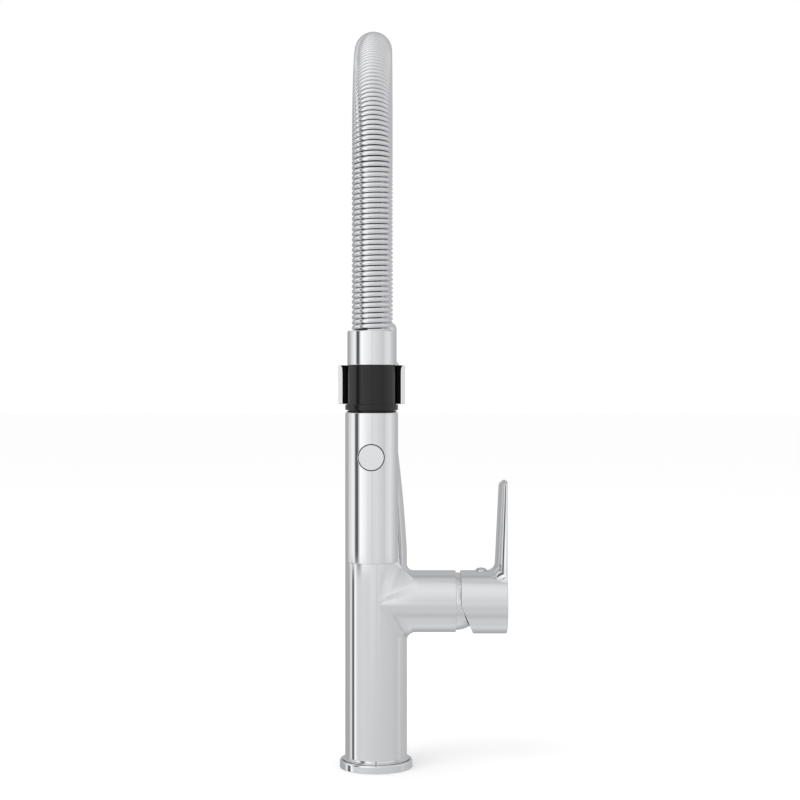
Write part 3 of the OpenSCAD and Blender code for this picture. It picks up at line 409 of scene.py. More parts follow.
def ball_radius(v):
    """The ball's radius in direction v: 5 mm over the branch and 6.3 mm under it, and more
    at its sides, by 62 cos^4 v in the upper half and by 16 cos^2 v in the lower."""
    upper = np.clip((np.sin(v) + 0.1) / 0.25, 0, 1)
    sides = upper * 62 * np.cos(v) ** 4 + (1 - upper) * 16 * np.cos(v) ** 2
    return 5.65 - 0.65 * np.sin(v) + sides


ball_sizes = ball_radius(np.radians([90, 0, 270]))
print("ball radius over, beside and under the branch:", ball_sizes.round(1), "mm")

# %% Rolling-ball fillet between the column and the branch
# The socket in the branch's end takes the valve; the root is hidden in the column
SOCKET_R, SOCKET_FLOOR = 20.6, 52.0
ROOT_X, SUNK = 10.0, 0.8


def branch_grid(arcs=20):
    """Rows: a row sunk in the column, the fillet arc, then the branch out to its end.

    Ball centre: y = (r + q) cos v, z = (r + q) sin v, x = sqrt((R + q)^2 - y^2), with
    q the ball's radius, r the branch's and R the column's. An arc point is the centre
    plus q times a direction turned from 'towards the column' to 'towards the branch'.
    The normals turn with the eased share 3 t^2 - 2 t^3, as a polisher softens both ends.
    """
    v = directions(ROUND_STEPS)
    ball = ball_radius(v)
    y = (BRANCH_R + ball) * np.cos(v)
    z = (BRANCH_R + ball) * np.sin(v)
    x = np.sqrt((BODY_R + ball) ** 2 - y ** 2)
    to_column = -np.stack([x, y, 0 * x], axis=-1) / (BODY_R + ball)[:, None]
    to_branch = -np.stack([0 * v, np.cos(v), np.sin(v)], axis=-1)
    t = np.linspace(0, 1, arcs + 1)[:, None]
    arc = np.stack([x, y, z], axis=-1) + ball[:, None] * swing(to_column, to_branch, t)
    facing = swing(to_column, to_branch, t * t * (3 - 2 * t))
    end, end_n = rounded([
        (BRANCH_R, 40, 0), (BRANCH_R, BRANCH_END, 0.35), (SOCKET_R, BRANCH_END, 0.2),
        (SOCKET_R, SOCKET_FLOOR, 0),
    ])
    straight = round_axis("X", end[1:, :1], end[1:, 1:], v)
    straight_n = round_axis("X", end_n[1:, :1], end_n[1:, 1:], v)
    floor, root, along = (
        np.broadcast_to([value, 0.0, 0.0], (1, len(v), 3)) for value in (SOCKET_FLOOR, ROOT_X, 1)
    )
    points = np.concatenate([root, arc[:1] + SUNK * to_column, arc, straight, floor])
    normals = np.concatenate([-along, -facing[:1], -facing, straight_n, along])
    return grid(points + [0, 0, VALVE_Z], normals)


build(
    "column_casting", [column_shell, branch_grid()], "column", chrome,
    "column_body"
)

# %% [markdown]
# ## Foot flange and trim dome
# The flange is a separate turned ring that hides the hole in the worktop. A groove
# of 0.6 mm is turned into its slope; it is cut as geometry, because only a real
# groove gives a mirror its thin dark line. The trim dome is a thin cup over the
# valve. It is part of a ball, so that the lever's hood can tilt round it with an
# even gap.
# %% Flange
FLANGE_R, _, FLANGE_H = span("base_flange")[1]
FLANGE_BORE, FLANGE_BASE = 22.65, 0.1
GROOVE_OUT, GROOVE_IN, GROOVE_FLOOR = 26.0, 25.4, 5.2
flange_ring = lathe(closed(rounded([
    (FLANGE_BORE, FLANGE_BASE, 0), (FLANGE_R, FLANGE_BASE, 0.25), (FLANGE_R, 5.7, 1.9),
    (26.15, 6.35, 0.12), (GROOVE_OUT, GROOVE_FLOOR, 0.05), (GROOVE_IN, GROOVE_FLOOR, 0.05),
    (25.45, 6.85, 0.2), (24.2, 7.25, 1.2), (BODY_R + 0.05, FLANGE_H + 0.3, 0.1),
    (FLANGE_BORE, FLANGE_H - 0.6, 0),
], 10)))
build("foot_flange", [flange_ring], "column", chrome, "base_flange")

# %% Trim dome
DOME_R = span("trim_dome")[1][1]
DOME_X = BRANCH_END - 0.2
DOME_FROM, DOME_TO = -20, 52.8
dome_angle = np.radians(np.linspace(DOME_FROM, DOME_TO, 40))
dome_n = np.stack([np.cos(dome_angle), np.sin(dome_angle)], axis=1)
dome_p = DOME_R * dome_n + [0, DOME_X]
to_axis = np.array([0.0, 1.0])
dome_p = np.vstack([dome_p[:1] * to_axis, dome_p, dome_p[-1:] * to_axis])
dome_n = np.vstack([-to_axis, dome_n, to_axis])
build(
    "trim_cup", [lathe((dome_p, dome_n), (0.0, VALVE_Z), "X")], "column", chrome,
    "trim_dome"
)

# %% [markdown]
# ## The lever's hood
# The hood is a turned cap over the dome. Its lower edge is cut back at a slant, so
# that it can tilt without touching the branch. A Boolean cut would do it, but would
# spoil the grid. Instead each point of the rim lies where the slanted plane cuts
# that radius, and the walls run straight from rim to end.
# %% Hood with its slanted rim
# The hood hangs half a millimetre under the valve's axis
HOOD_X = span("lever_handle")[0][0]
HOOD_END, HOOD_R, HOOD_IN = 98.0, 23.65, 22.0
HOOD_FLOOR, HOOD_Z = 93.2, 123.7
CUT_SLOPE = 9.4 / 23.3
CUT_END = HOOD_END - 6


def hood_grid():
    """Along each direction v the rim of radius r is at x = start + slope * r * max(0, -sin v).
    The shift fades out along the wall and ends 6 mm before the hood's end."""
    v = directions(ROUND_STEPS)
    wall, wall_n = rounded([
        (0, HOOD_FLOOR, 0), (HOOD_IN, HOOD_FLOOR, 0.5), (HOOD_IN, HOOD_X, 0.25),
        (HOOD_R, HOOD_X, 0.35), (HOOD_R, HOOD_END, 0.7), (0, HOOD_END, 0),
    ])
    across, along = wall[:, :1], wall[:, 1:]
    near_rim = np.clip((CUT_END - along) / (CUT_END - HOOD_X), 0, 1)
    x = along + near_rim * CUT_SLOPE * across * np.maximum(0, -np.sin(v))
    points = round_axis("X", across, x, v, (0.0, HOOD_Z))
    return grid(points, round_axis("X", wall_n[:, :1], wall_n[:, 1:], v))


print("the rim is cut back by", round(CUT_SLOPE * HOOD_R, 1), "mm at its lowest point")

# %% [markdown]
# ## The lever's blade
# The blade is a slim bar with a flat outer face and a crowned inner one. It thins
# towards a slanted tip, and it flows into the hood through a rolling-ball fillet
# like the branch's. A bevelled box would give the crown a hard edge, so the crown
# is a curve whose radius is written down. The normals come from the grid itself,
# because the section changes all the way up.
# %% Crown of the inner side
BLADE_HALF, BLADE_TOP, EDGE, TIP_R = 15.5, 215.0, 0.55, 5.0


def crown_curve(nose=2.7, depth=8.0, turn_from=18, turn_over=8, count=20):
    """Half of the inner side as (y / half, d / depth), from the nose to the middle.

    The radius of curvature is the nose's while the side faces forward. Past turn_from
    degrees it grows by two terms, a soft step over the next turn_over degrees and sin^12,
    solved so that the curve ends in the middle.
    """
    a = np.radians(np.linspace(0, 90, 721))
    step = np.clip((np.degrees(a) - turn_from) / turn_over, 0, 1)
    terms = np.stack([np.ones_like(a), step * step * (3 - 2 * step), np.sin(a) ** 12])
    reach = np.stack([(terms * np.cos(a)).sum(axis=1), (terms * np.sin(a)).sum(axis=1)]) * a[1]
    grow = np.linalg.solve(reach[:, 1:], np.array([depth, BLADE_HALF]) - nose * reach[:, 0])
    radius = terms.T @ np.array([nose, *grow])
    d, y = np.cumsum(radius * np.cos(a)), np.cumsum(radius * np.sin(a))
    pick = np.linspace(0, len(a) - 1, count).astype(int)
    print("blade: radius on the nose", nose, "mm, added round the crown", grow.round(1))
    return np.stack([1 - y[pick] / y[-1], d[pick] / d[-1]])


CROWN = crown_curve()
CROWN_BOTH = np.hstack([CROWN, (CROWN * [[-1], [1]])[:, -2::-1]])

# %% Section of the blade
EDGE_POINTS, FLAT_POINTS = 5, 7
LEFT_EDGE = slice(0, EDGE_POINTS)
FLAT = slice(EDGE_POINTS, EDGE_POINTS + FLAT_POINTS)
RIGHT_EDGE = slice(FLAT.stop, FLAT.stop + EDGE_POINTS)


def blade_section(depth, half, face_x):
    """Closed section round a D: a flat face at face_x, small edges, and the crown."""
    turn = np.linspace(0, math.pi / 2, EDGE_POINTS)
    crown_y, crown_x = half * CROWN_BOTH[0], face_x - EDGE - (depth - EDGE) * CROWN_BOTH[1]
    edge_y = half - EDGE * (1 - np.cos(turn))
    edge_x = face_x - EDGE + EDGE * np.sin(turn)
    flat_y = np.linspace(-half + EDGE, half - EDGE, FLAT_POINTS + 2)[1:-1]
    y = np.concatenate([-edge_y, flat_y, edge_y[::-1], crown_y[1:-1]])
    x = np.concatenate([edge_x, np.full(FLAT_POINTS, face_x), edge_x[::-1], crown_x[1:-1]])
    return np.stack([x, y], axis=-1)


def blade_depth(z):
    """Thickness at height z: 8.9 at 150 mm, thinner by 0.05 per millimetre, less a bevel
    that starts at 211 mm and takes 3.1 off the tip, as ((z - 211) / 4) ^ 2.2."""
    return 8.9 - 0.0497 * (z - 150) - 3.1 * np.clip((z - 211) / 4, 0, 1) ** 2.2


print("blade thickness, foot and tip:", [round(blade_depth(z), 1) for z in (156, BLADE_TOP)])

# %% Fillet at the blade's foot
BLADE_BALL, BLADE_FOOT_Z, BLADE_SUNK = 6.4, 153.0, 1.5


def blade_fillet(face):
    """Rows of the fillet. The ball touches the hood's cylinder of radius R and the blade's
    foot: its centre lies a ball radius q outside the foot's outline, at the height
    sqrt((R + q)^2 - y^2) over the hood's axis. Behind the flat face the rows run straight."""
    foot = blade_section(blade_depth(BLADE_FOOT_Z), BLADE_HALF, face)
    chord = foot - np.roll(foot, 1, axis=0)
    way = chord + np.roll(chord, -1, axis=0)
    away = np.stack([way[:, 1], -way[:, 0]], axis=1)
    away /= np.linalg.norm(away, axis=1, keepdims=True)
    away[LEFT_EDGE], away[RIGHT_EDGE] = [0, -1], [0, 1]
    spot = foot + BLADE_BALL * away
    height = np.sqrt((HOOD_R + BLADE_BALL) ** 2 - spot[:, 1] ** 2)
    to_hood = -np.column_stack([0 * height, spot[:, 1], height]) / (HOOD_R + BLADE_BALL)
    to_blade = -np.column_stack([away, 0 * height])
    facing = swing(to_hood, to_blade, np.linspace(0, 1, 11)[:, None])
    arc = np.column_stack([spot, height]) + BLADE_BALL * facing + [0, 0, HOOD_Z]
    share = ((foot[FLAT, 1] + BLADE_HALF - EDGE) / (2 * (BLADE_HALF - EDGE)))[:, None]
    left, right = arc[:, FLAT.start - 1], arc[:, FLAT.stop]
    arc[:, FLAT] = left[:, None] * (1 - share) + right[:, None] * share
    return np.concatenate([arc[:1] + BLADE_SUNK * to_hood, arc])


print("the blade's foot is rounded with", BLADE_BALL, "mm")

# %% Sections up to the tip
# Heights of the rows, closer where the tip's corners turn; the two hearts close the ends
STRAIGHT_ROWS = [*np.linspace(156, 208, 14), 209, 210, 211, 211.7]
TIP_TURN = np.radians([28, 34, 40, 50, 60, 70, 78, 84, 88, 90])
FACE_PROUD, CAP_SHARE = 0.02, 0.9
TIP_HEART, ROOT_HEART = [97.3, 0, BLADE_TOP], [95.0, 0, 140]


def surface_normals(points):
    """Cross product of the two grid directions, the rows open and the columns closed."""
    round_way = np.roll(points, -1, axis=1) - np.roll(points, 1, axis=1)
    up_way = np.gradient(points, axis=0)
    cross = np.cross(round_way, up_way)
    return cross / np.maximum(np.linalg.norm(cross, axis=-1, keepdims=True), 1e-12)


def blade_grid():
    """Fillet rows, then sections of the D stacked up to the tip, closed by a flat cap. The
    tip's corners are quarter circles: half width = H - r + sqrt(r^2 - (z - top + r)^2)."""
    face = HOOD_END + FACE_PROUD
    rows = np.concatenate([STRAIGHT_ROWS, BLADE_TOP - TIP_R + TIP_R * np.sin(TIP_TURN)])
    bend = np.maximum(rows - BLADE_TOP + TIP_R, 0)
    half = BLADE_HALF - TIP_R + np.sqrt(np.maximum(TIP_R ** 2 - bend ** 2, 0))
    back = EDGE - np.sqrt(np.maximum(EDGE ** 2 - np.maximum(rows - BLADE_TOP + EDGE, 0) ** 2, 0))
    outlines = np.stack([
        blade_section(blade_depth(z) - b, h, face - b) for z, h, b in zip(rows, half, back)
    ])
    heights = np.broadcast_to(rows[:, None, None], (*outlines.shape[:2], 1))
    stack = np.concatenate([outlines, heights], axis=-1)
    cap = stack[-1:] * [1, CAP_SHARE, 1]
    heart, base = (np.broadcast_to(spot, cap.shape) for spot in (TIP_HEART, ROOT_HEART))
    points = np.concatenate([base, blade_fillet(face), stack, cap, heart])
    normals = surface_normals(points)
    normals[-2:], normals[:1] = [0, 0, 1], [0, 0, -1]
    return grid(points, normals)


build("lever", [hood_grid(), blade_grid()], "handle", chrome, "lever_handle")

# %% [markdown]
# ## Index plug
# A small domed plug closes the hole of the lever's set screw. It is pushed in, and
# it stands a little proud of the hood. A squashed sphere would come near, but a
# lathe profile also gives it the short straight wall that it is held by.
# %% Index plug
PLUG_X, PLUG_BASE, PLUG_HALF = 79.0, 145.4, 4.4
PLUG_EDGE, PLUG_RISE = 147.3, 2.2
plug_angle = np.radians(np.linspace(0, 90, 12))[:-1]
plug_top = [
    (PLUG_HALF * math.cos(a), PLUG_EDGE + PLUG_RISE * math.sin(a), 0) for a in plug_angle
]
plug_profile = rounded([
    (0, PLUG_BASE, 0), (PLUG_HALF, PLUG_BASE, 0.2), *plug_top, (0, PLUG_EDGE + PLUG_RISE, 0)
])
build(
    "index_dome", [lathe(plug_profile, (PLUG_X, 0.0), "Z", 48)], "handle", plug_metal,
    "index_plug"
)

# %% [markdown]
# ## Collar, ring and arm
# The spout's collar sits on the neck and turns with the arch. A ring with an arm
# is clamped round it and carries the clip. The ring's edges are long cones, and
# the arm is a flat oval bar. All are profiles again: turned for the collar and the
# ring, and pushed along for the bar, whose far end is hidden in the clip.
# %% Collar of the spout
SPIGOT_R, SPIGOT_Z = 9.5, 262.0
HOSE_MOUTH_R, HOSE_FLOOR = 8.0, 326.0
collar_cup = lathe(rounded([
    (0, SPIGOT_Z, 0), (SPIGOT_R, SPIGOT_Z, 0.3), (SPIGOT_R, SPOUT_Z, 0.3),
    (NECK_R, SPOUT_Z, 0.35), (NECK_R, COLLAR_TOP, 5.2), (HOSE_MOUTH_R, COLLAR_TOP, 0.4),
    (HOSE_MOUTH_R, HOSE_FLOOR, 0.2), (0, HOSE_FLOOR, 0),
], 10))
build("spout_cup", [collar_cup], "spout", chrome, "spout_collar")

# %% Ring and arm
RING_R, RING_BORE = 19.5, 14.6
RING_Z0, RING_Z1 = SPOUT_Z + 0.4, SPOUT_Z + 31.7
BAR_HALF_W, BAR_HALF_H = 5.5, 8.0


def bar_grid(y0, y1, sides=64):
    """An oval bar along Y: half circles of radius BAR_HALF_W joined by straight sides."""
    a = directions(sides)
    lift = np.where(np.sin(a) >= 0, 1, -1) * (BAR_HALF_H - BAR_HALF_W)
    rows = np.array([y1, y1, y0, y0])[:, None] + 0 * a
    shrink = np.array([0.0, 1, 1, 0])[:, None]
    x, z = shrink * BAR_HALF_W * np.cos(a), shrink * (BAR_HALF_W * np.sin(a) + lift)
    outwards = np.stack([np.cos(a), 0 * a, np.sin(a)], axis=-1)
    normals = np.broadcast_to(outwards, (len(rows), sides, 3))
    return grid(np.stack([x, rows, ARM_Z + z], axis=-1), normals)


ring = lathe(closed(rounded([
    (RING_BORE, RING_Z0, 0), (NECK_R + 1.0, RING_Z0, 0.3), (RING_R, SPOUT_Z + 5.4, 1.2),
    (RING_R, SPOUT_Z + 26.3, 1.2), (NECK_R + 0.3, RING_Z1, 0.2), (RING_BORE, RING_Z1, 0),
])))
build(
    "holder", [ring, bar_grid(WAND_Y + 19.5, -16.0)], "spout", chrome,
    "holder_arm"
)

# %% [markdown]
# ## The clip
# A chromed half ring holds the wand, with a rubber liner that grips it. Both are a
# rounded section carried half way round the wand. Solidify on half a cylinder would
# leave square ends, so here the section shrinks along a quarter circle at the two
# ends, which gives the end faces a rounded edge. The liner's top bends outwards in
# a lip that leads the wand in.
# %% Half rings
# Steps down from the top edge, close together where the liner's lip bends outwards
LIP_STEPS = np.array([8.0, 3.2, 2.6, 2.0, 1.4, 0.9, 0.5])
FLARE_H, FLARE_RUN = 3.2, 2.4


def half_ring(r_in, r_out, edge, flare=0.0, past=0.0, steps=96):
    """A section rounded by edge, swept from +X over +Y to -X round the wand.

    Point = (r cos a, wand + r sin a, z). Near each end the section is drawn in by
    edge (1 - cos t) while it moves on by edge sin t, which rounds the end face. The outside
    flares by flare * s^1.5, s going from 0 to 1 over FLARE_RUN, from FLARE_H below the top.
    past turns each end on by that many radians.
    """
    turn = np.radians(np.linspace(90, 0, 5))
    lead, draw = edge * (1 - np.sin(turn)), edge * (1 - np.cos(turn))
    mean_r, mean_z = (r_in + r_out) / 2, (CLIP_Z0 + CLIP_Z1) / 2
    round_end = lead / mean_r
    middle = np.linspace(0, math.pi, steps)[1:-1]
    a = np.concatenate([[0], round_end, middle, math.pi - round_end[::-1], [math.pi]])
    a = (a * (1 + 2 * past / math.pi) - past)[:, None]
    inset = np.concatenate([draw, 0 * middle, draw[::-1]])[:, None]
    corner = np.radians(np.arange(0, 360, 15))
    outer, upper = np.cos(corner + 0.01) > 0, np.sin(corner + 0.01) > 0
    r = np.where(outer, r_out - edge, r_in + edge) + (edge - inset) * np.cos(corner)
    z = np.where(upper, CLIP_Z1 - edge, CLIP_Z0 + edge) + (edge - inset) * np.sin(corner)
    r = np.hstack([r, r_out - inset + 0 * LIP_STEPS])
    z = np.hstack([z, CLIP_Z1 - LIP_STEPS + 0 * inset])
    r = r + flare * np.clip((z - CLIP_Z1 + FLARE_H) / FLARE_RUN, 0, 1) ** 1.5 * (r > mean_r)
    r, z = (np.pad(part, ((1, 1), (0, 0)), constant_values=mean)
            for part, mean in ((r, mean_r), (z, mean_z)))
    points = np.stack([r * np.cos(a), WAND_Y + r * np.sin(a), z], axis=-1)
    normals = -surface_normals(points)
    normals[:2], normals[-2:] = [0, -1, 0], [0, -1, 0]
    points, normals, quads = grid(points, normals)
    return points, normals, quads[:, ::-1]


build("clip_shell", [half_ring(18.25, 21.1, 0.45)], "spout", chrome, "clip_band")
build(
    "clip_grip", [half_ring(15.8, 18.2, 0.3, flare=1.1, past=0.04)], "spout", black_rubber,
    "clip_liner"
)

# %% [markdown]
# ## The wand
# The wand hangs from its collar. Below it are the black sleeve that the clip holds,
# with a flange at its foot, and the chromed barrel with its round push button. They
# are separate turned pieces, because the gaps between them show as fine dark lines.
# %% Collar and sleeve of the wand
SLEEVE_R, SLEEVE_STEP_R = 15.5, 15.0
SLEEVE_BASE, FLANGE_TOP, SLEEVE_TOP = 262.0, 272.55, 297.35
CUP_FLOOR = 308.0
cup = lathe(rounded([
    (0, WAND_COLLAR_Z, 0), (NECK_R, WAND_COLLAR_Z, 0.3), (NECK_R, WAND_TOP, 0.6),
    (HOSE_MOUTH_R, WAND_TOP, 0.3), (HOSE_MOUTH_R, CUP_FLOOR, 0.2), (0, CUP_FLOOR, 0),
]), WAND)
build("wand_cup", [cup], "hose_end", chrome, "wand_collar")
sleeve = lathe(rounded([
    (0, SLEEVE_BASE, 0), (SLEEVE_STEP_R, SLEEVE_BASE, 0.3), (SLEEVE_STEP_R, BARREL_Z1, 0.1),
    (BARREL_R, BARREL_Z1, 0.2), (BARREL_R, FLANGE_TOP, 0.5), (SLEEVE_R, FLANGE_TOP, 0.25),
    (SLEEVE_R, SLEEVE_TOP, 0.3), (0, SLEEVE_TOP, 0),
]), WAND)
build("wand_grip", [sleeve], "wand", black_plastic, "wand_sleeve")

# %% [markdown]
# ## The barrel and its button hole
# The hole for the button is drilled straight through the round wall. A Boolean
# would leave long thin faces that a mirror shows. Here the wall is a grid of the
# lathe's own steps, with a square left out. That square is filled by rings that
# change from the square's border to the drilled circle, go through the wall, and
# open out to the square again on the inside.
# %% Barrel round the patch
BARREL_IN = 15.2
button_low, button_high = span("button_cap")
BUTTON_Z = (button_low[2] + button_high[2]) / 2
HOLE_SPAN, HOLE_HALF = 20, 11.0
STEP = FULL_TURN / ROUND_STEPS
PATCH_ROWS = np.linspace(-HOLE_HALF, HOLE_HALF, 2 * HOLE_SPAN + 1)


def on_barrel(r, angle, z):
    """Place on the cylinder of radius r, the angle running from -Y towards +X, and the
    direction that faces out of it there."""
    facing = np.stack([np.sin(angle), -np.cos(angle), 0 * z], axis=-1)
    return np.stack([r * np.sin(angle), WAND_Y - r * np.cos(angle), z + 0 * angle], axis=-1), facing


def barrel_walls():
    """Lathe grids below and above the hole's band, and the band's outer and inner wall."""
    low = rounded([
        (BARREL_IN, BUTTON_Z - HOLE_HALF, 0), (BARREL_IN, BARREL_Z0, 0.3),
        (BARREL_R, BARREL_Z0, 0.6), (BARREL_R, BUTTON_Z - HOLE_HALF, 0),
    ])
    high = rounded([
        (BARREL_R, BUTTON_Z + HOLE_HALF, 0), (BARREL_R, BARREL_Z1 - 2.0, 0.3),
        (BARREL_IN + 0.05, BARREL_Z1 - 0.4, 0.04), (BARREL_IN, BARREL_Z1 - 1.0, 0.1),
        (BARREL_IN, BUTTON_Z + HOLE_HALF, 0),
    ])
    back = np.arange(HOLE_SPAN, ROUND_STEPS - HOLE_SPAN + 1) * STEP
    angle, height = np.meshgrid(back, PATCH_ROWS)
    outer, facing = on_barrel(BARREL_R, angle, BUTTON_Z + height)
    inner, _ = on_barrel(BARREL_IN, angle, BUTTON_Z + height)
    quads = grid_quads(*angle.shape, wrap=False)
    return [
        lathe(low, WAND), lathe(high, WAND),
        (outer.reshape(-1, 3), facing.reshape(-1, 3), quads),
        (inner.reshape(-1, 3), -facing.reshape(-1, 3), quads[:, ::-1]),
    ]


print("the patch covers", round(2 * math.degrees(HOLE_SPAN * STEP)), "degrees of the barrel")

# %% Patch with the drilled hole
HOLE_R, HOLE_EDGE = 8.4, 0.3
PATCH_SHARES = np.linspace(0, 1, 8)[:, None]


def hole_patch():
    """Rings from the square's border to the drilled circle, through the wall, and back out.

    A ring is border + t (circle - border), in angle and in height. A circle of radius c
    lies on the cylinder of radius r at the angle arcsin(c cos w / r) and the height
    c sin w. The hole's outer edge is a quarter circle of radius HOLE_EDGE.
    """
    side = np.arange(-HOLE_SPAN, HOLE_SPAN) * STEP
    edge = np.full(2 * HOLE_SPAN, HOLE_SPAN * STEP)
    border_a = np.concatenate([side, edge, -side, -edge])
    border_h = np.concatenate([
        0 * edge - HOLE_HALF, PATCH_ROWS[:-1], 0 * edge + HOLE_HALF, -PATCH_ROWS[:-1]
    ])
    w = np.arctan2(border_h, BARREL_R * np.sin(border_a))

    def rings(r, circle, t):
        """Rings on the cylinder of radius r, a share t of the way to the circle."""
        angle = border_a + (np.arcsin(circle * np.cos(w) / r) - border_a) * t
        height = border_h + (circle * np.sin(w) - border_h) * t
        return on_barrel(r, angle, BUTTON_Z + height)

    outer, outer_n = rings(BARREL_R, HOLE_R + HOLE_EDGE, PATCH_SHARES)
    turn = np.radians([30, 60, 90])[:, None]
    inward = np.stack([-np.cos(w), 0 * w, -np.sin(w)], axis=-1)
    lip, _ = rings(BARREL_R, HOLE_R + HOLE_EDGE * (1 - np.sin(turn)), np.ones((3, 1)))
    lip[..., 1] += HOLE_EDGE * (1 - np.cos(turn))
    lip_n = np.cos(turn)[..., None] * outer_n[-1] + np.sin(turn)[..., None] * inward
    end_angle = np.arcsin(HOLE_R * np.cos(w) / BARREL_R)[None]
    bore, _ = on_barrel(BARREL_IN + 0.2, end_angle, BUTTON_Z + HOLE_R * np.sin(w)[None])
    inner, inner_n = rings(BARREL_IN, HOLE_R, PATCH_SHARES[::-1])
    points = np.concatenate([outer, lip, bore, inner])
    return grid(points, np.concatenate([outer_n, lip_n, inward[None], -inner_n]))


build(
    "wand_shell", [*barrel_walls(), hole_patch()], "wand", chrome, "wand_barrel"
)

# %% [markdown]
# ## Push button
# The button changes the spray. It is a turned disc with a flat polished face and a
# rounded edge, seen head on, and it is pushed straight in. It turns round the Y
# axis, so the same lathe makes it, and its face stays flat where a bevelled
# cylinder's would shade towards its edge.
# %% Button facing the user
BUTTON_R = button_high[0] - 0.15
BUTTON_FACE, BUTTON_BACK = button_low[1], button_high[1]
button_profile = rounded([
    (0, BUTTON_FACE, 0), (BUTTON_R, BUTTON_FACE, 0.45), (BUTTON_R, BUTTON_BACK, 0.3),
    (0, BUTTON_BACK, 0),
])
build(
    "spray_button", [lathe(button_profile, (0.0, BUTTON_Z), "Y", 96)], "spray_button_body",
    chrome, "button_cap"
)

# %% [markdown]
# ## The spring arch
# The arch is a close-wound coil of chromed wire with a hose inside. The coil is a
# circle carried along a helix, and the helix itself runs along the arch: up from
# the collar, over a half circle, and down to the wand. It is right-handed, and its
# turns stand a little further apart in the legs than in the bow. A Screw modifier
# and a Curve modifier could bend a straight coil, but worked out directly the wire
# stays round.
# %% Path of the arch
REAR_LEG = ARCH_Z - COLLAR_TOP
FRONT_LEG = ARCH_Z - WAND_TOP
BOW = math.pi * ARCH_R
ARCH_LENGTH = REAR_LEG + BOW + FRONT_LEG


def arch_at(s):
    """Centre point and direction at length s: straight up, half circle, straight down."""
    a = np.clip((s - REAR_LEG) / ARCH_R, 0, math.pi)
    y = -ARCH_R + ARCH_R * np.cos(a)
    z = ARCH_Z + ARCH_R * np.sin(a)
    z = z - np.maximum(REAR_LEG - s, 0) - np.maximum(s - REAR_LEG - BOW, 0)
    centre = np.stack([0 * s, y, z], axis=-1)
    way = np.stack([0 * s, -np.sin(a), np.cos(a)], axis=-1)
    return centre, way


def tube(path, first_side, radius, sides):
    """A round tube along a path. first_side is a direction across the path at each
    point; the ring is radius (cos w side + sin w (way x side)), with flat closed ends."""
    way = np.gradient(path, axis=0)
    way /= np.linalg.norm(way, axis=1, keepdims=True)
    side = first_side - (first_side * way).sum(axis=1, keepdims=True) * way
    side /= np.linalg.norm(side, axis=1, keepdims=True)
    other = np.cross(way, side)
    w = directions(sides)[None, :, None]
    facing = np.cos(w) * side[:, None] + np.sin(w) * other[:, None]
    ends = np.broadcast_to(path[[0, -1]][:, None], (2, sides, 3))
    points = np.concatenate([ends[:1], path[:, None] + radius * facing, ends[1:]])
    caps = np.broadcast_to(way[[0, -1]][:, None], (2, sides, 3))
    return grid(points, np.concatenate([-caps[:1], facing, caps[1:]]))


print("arch length", round(ARCH_LENGTH, 1), "mm")

# %% Wound spring and the hose inside it
COIL_R, WIRE_R = 11.15, 1.5
PITCH_LEG, PITCH_BOW = 3.29, 3.02
COIL_OVER, PITCH_CHANGE = 0.5, 15
HOSE_R = span("inner_hose")[1][0]
HOSE_IN_COLLAR, HOSE_IN_WAND = 10, 6


def coil_path(steps=32):
    """Angle and length along the arch. Turns per millimetre are 1 / pitch, summed along
    the length; the pitch changes as tanh(s / 15 mm) where the legs meet the half circle."""
    s = np.linspace(-COIL_OVER, ARCH_LENGTH + COIL_OVER, 6000)
    enter = np.tanh((s - REAR_LEG) / PITCH_CHANGE)
    leave = np.tanh((s - REAR_LEG - BOW) / PITCH_CHANGE)
    density = 1 / (PITCH_LEG + (PITCH_BOW - PITCH_LEG) * (0.5 * enter - 0.5 * leave))
    turns = np.concatenate([[0], np.cumsum((density[1:] + density[:-1]) / 2 * np.diff(s))])
    turn = np.linspace(0, turns[-1], int(turns[-1] * steps))
    print("coil:", round(turns[-1], 1), "turns of", 2 * WIRE_R, "mm wire")
    return turn * FULL_TURN, np.interp(turn, turns, s)


turn_angle, coil_s = coil_path()
middle, heading = arch_at(coil_s)
east = np.broadcast_to([1.0, 0, 0], middle.shape)
coil_side = (np.cos(turn_angle)[:, None] * east
             + np.sin(turn_angle)[:, None] * np.cross(heading, east))
coil = tube(middle + COIL_R * coil_side, coil_side, WIRE_R, 12)
spring = build("arch_coil", [coil], None, spring_chrome, "arch_spring")
hose_path, _ = arch_at(np.linspace(-HOSE_IN_COLLAR, ARCH_LENGTH + HOSE_IN_WAND, 240))
hose_tube = tube(hose_path, np.broadcast_to([1.0, 0, 0], hose_path.shape), HOSE_R, 40)
hose = build("arch_hose", [hose_tube], None, hose_jacket, "inner_hose")

# %% Move the arch's placement into its meshes
# The line from start to end is level, so each foot keeps to its own collar
for soft in (spring, hose):
    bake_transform(soft)

# %% [markdown]
# ## Floor and camera
# The mixer stands on a pale floor that runs back to a white background. The camera
# is level and far enough away that the column hardly narrows. The floor takes the
# mixer's soft shadow. It shines a little, for the camera only, so that it meets the
# background without an edge, and mirrors don't see it.
# %% Floor
FLOOR_HALF = 30
FLOOR_LIFT = 0.06
floor_mesh = bpy.data.meshes.new("floor")
floor_corners = FLOOR_HALF * np.array([(-1, -1, 0), (1, -1, 0), (1, 1, 0), (-1, 1, 0)])
floor_mesh.from_pydata(floor_corners.tolist(), [], [(0, 1, 2, 3)])
floor = bpy.data.objects.new("floor", floor_mesh)
bpy.context.scene.collection.objects.link(floor)
floor_paint = bpy.data.materials.new("floor_paint")
floor_paint.use_nodes = True
paper = floor_paint.node_tree.nodes["Principled BSDF"]
paper.inputs["Base Color"].default_value = (0.97, 0.97, 0.97, 1)
paper.inputs["Roughness"].default_value = 1.0
paper.inputs["Specular IOR Level"].default_value = 0.0
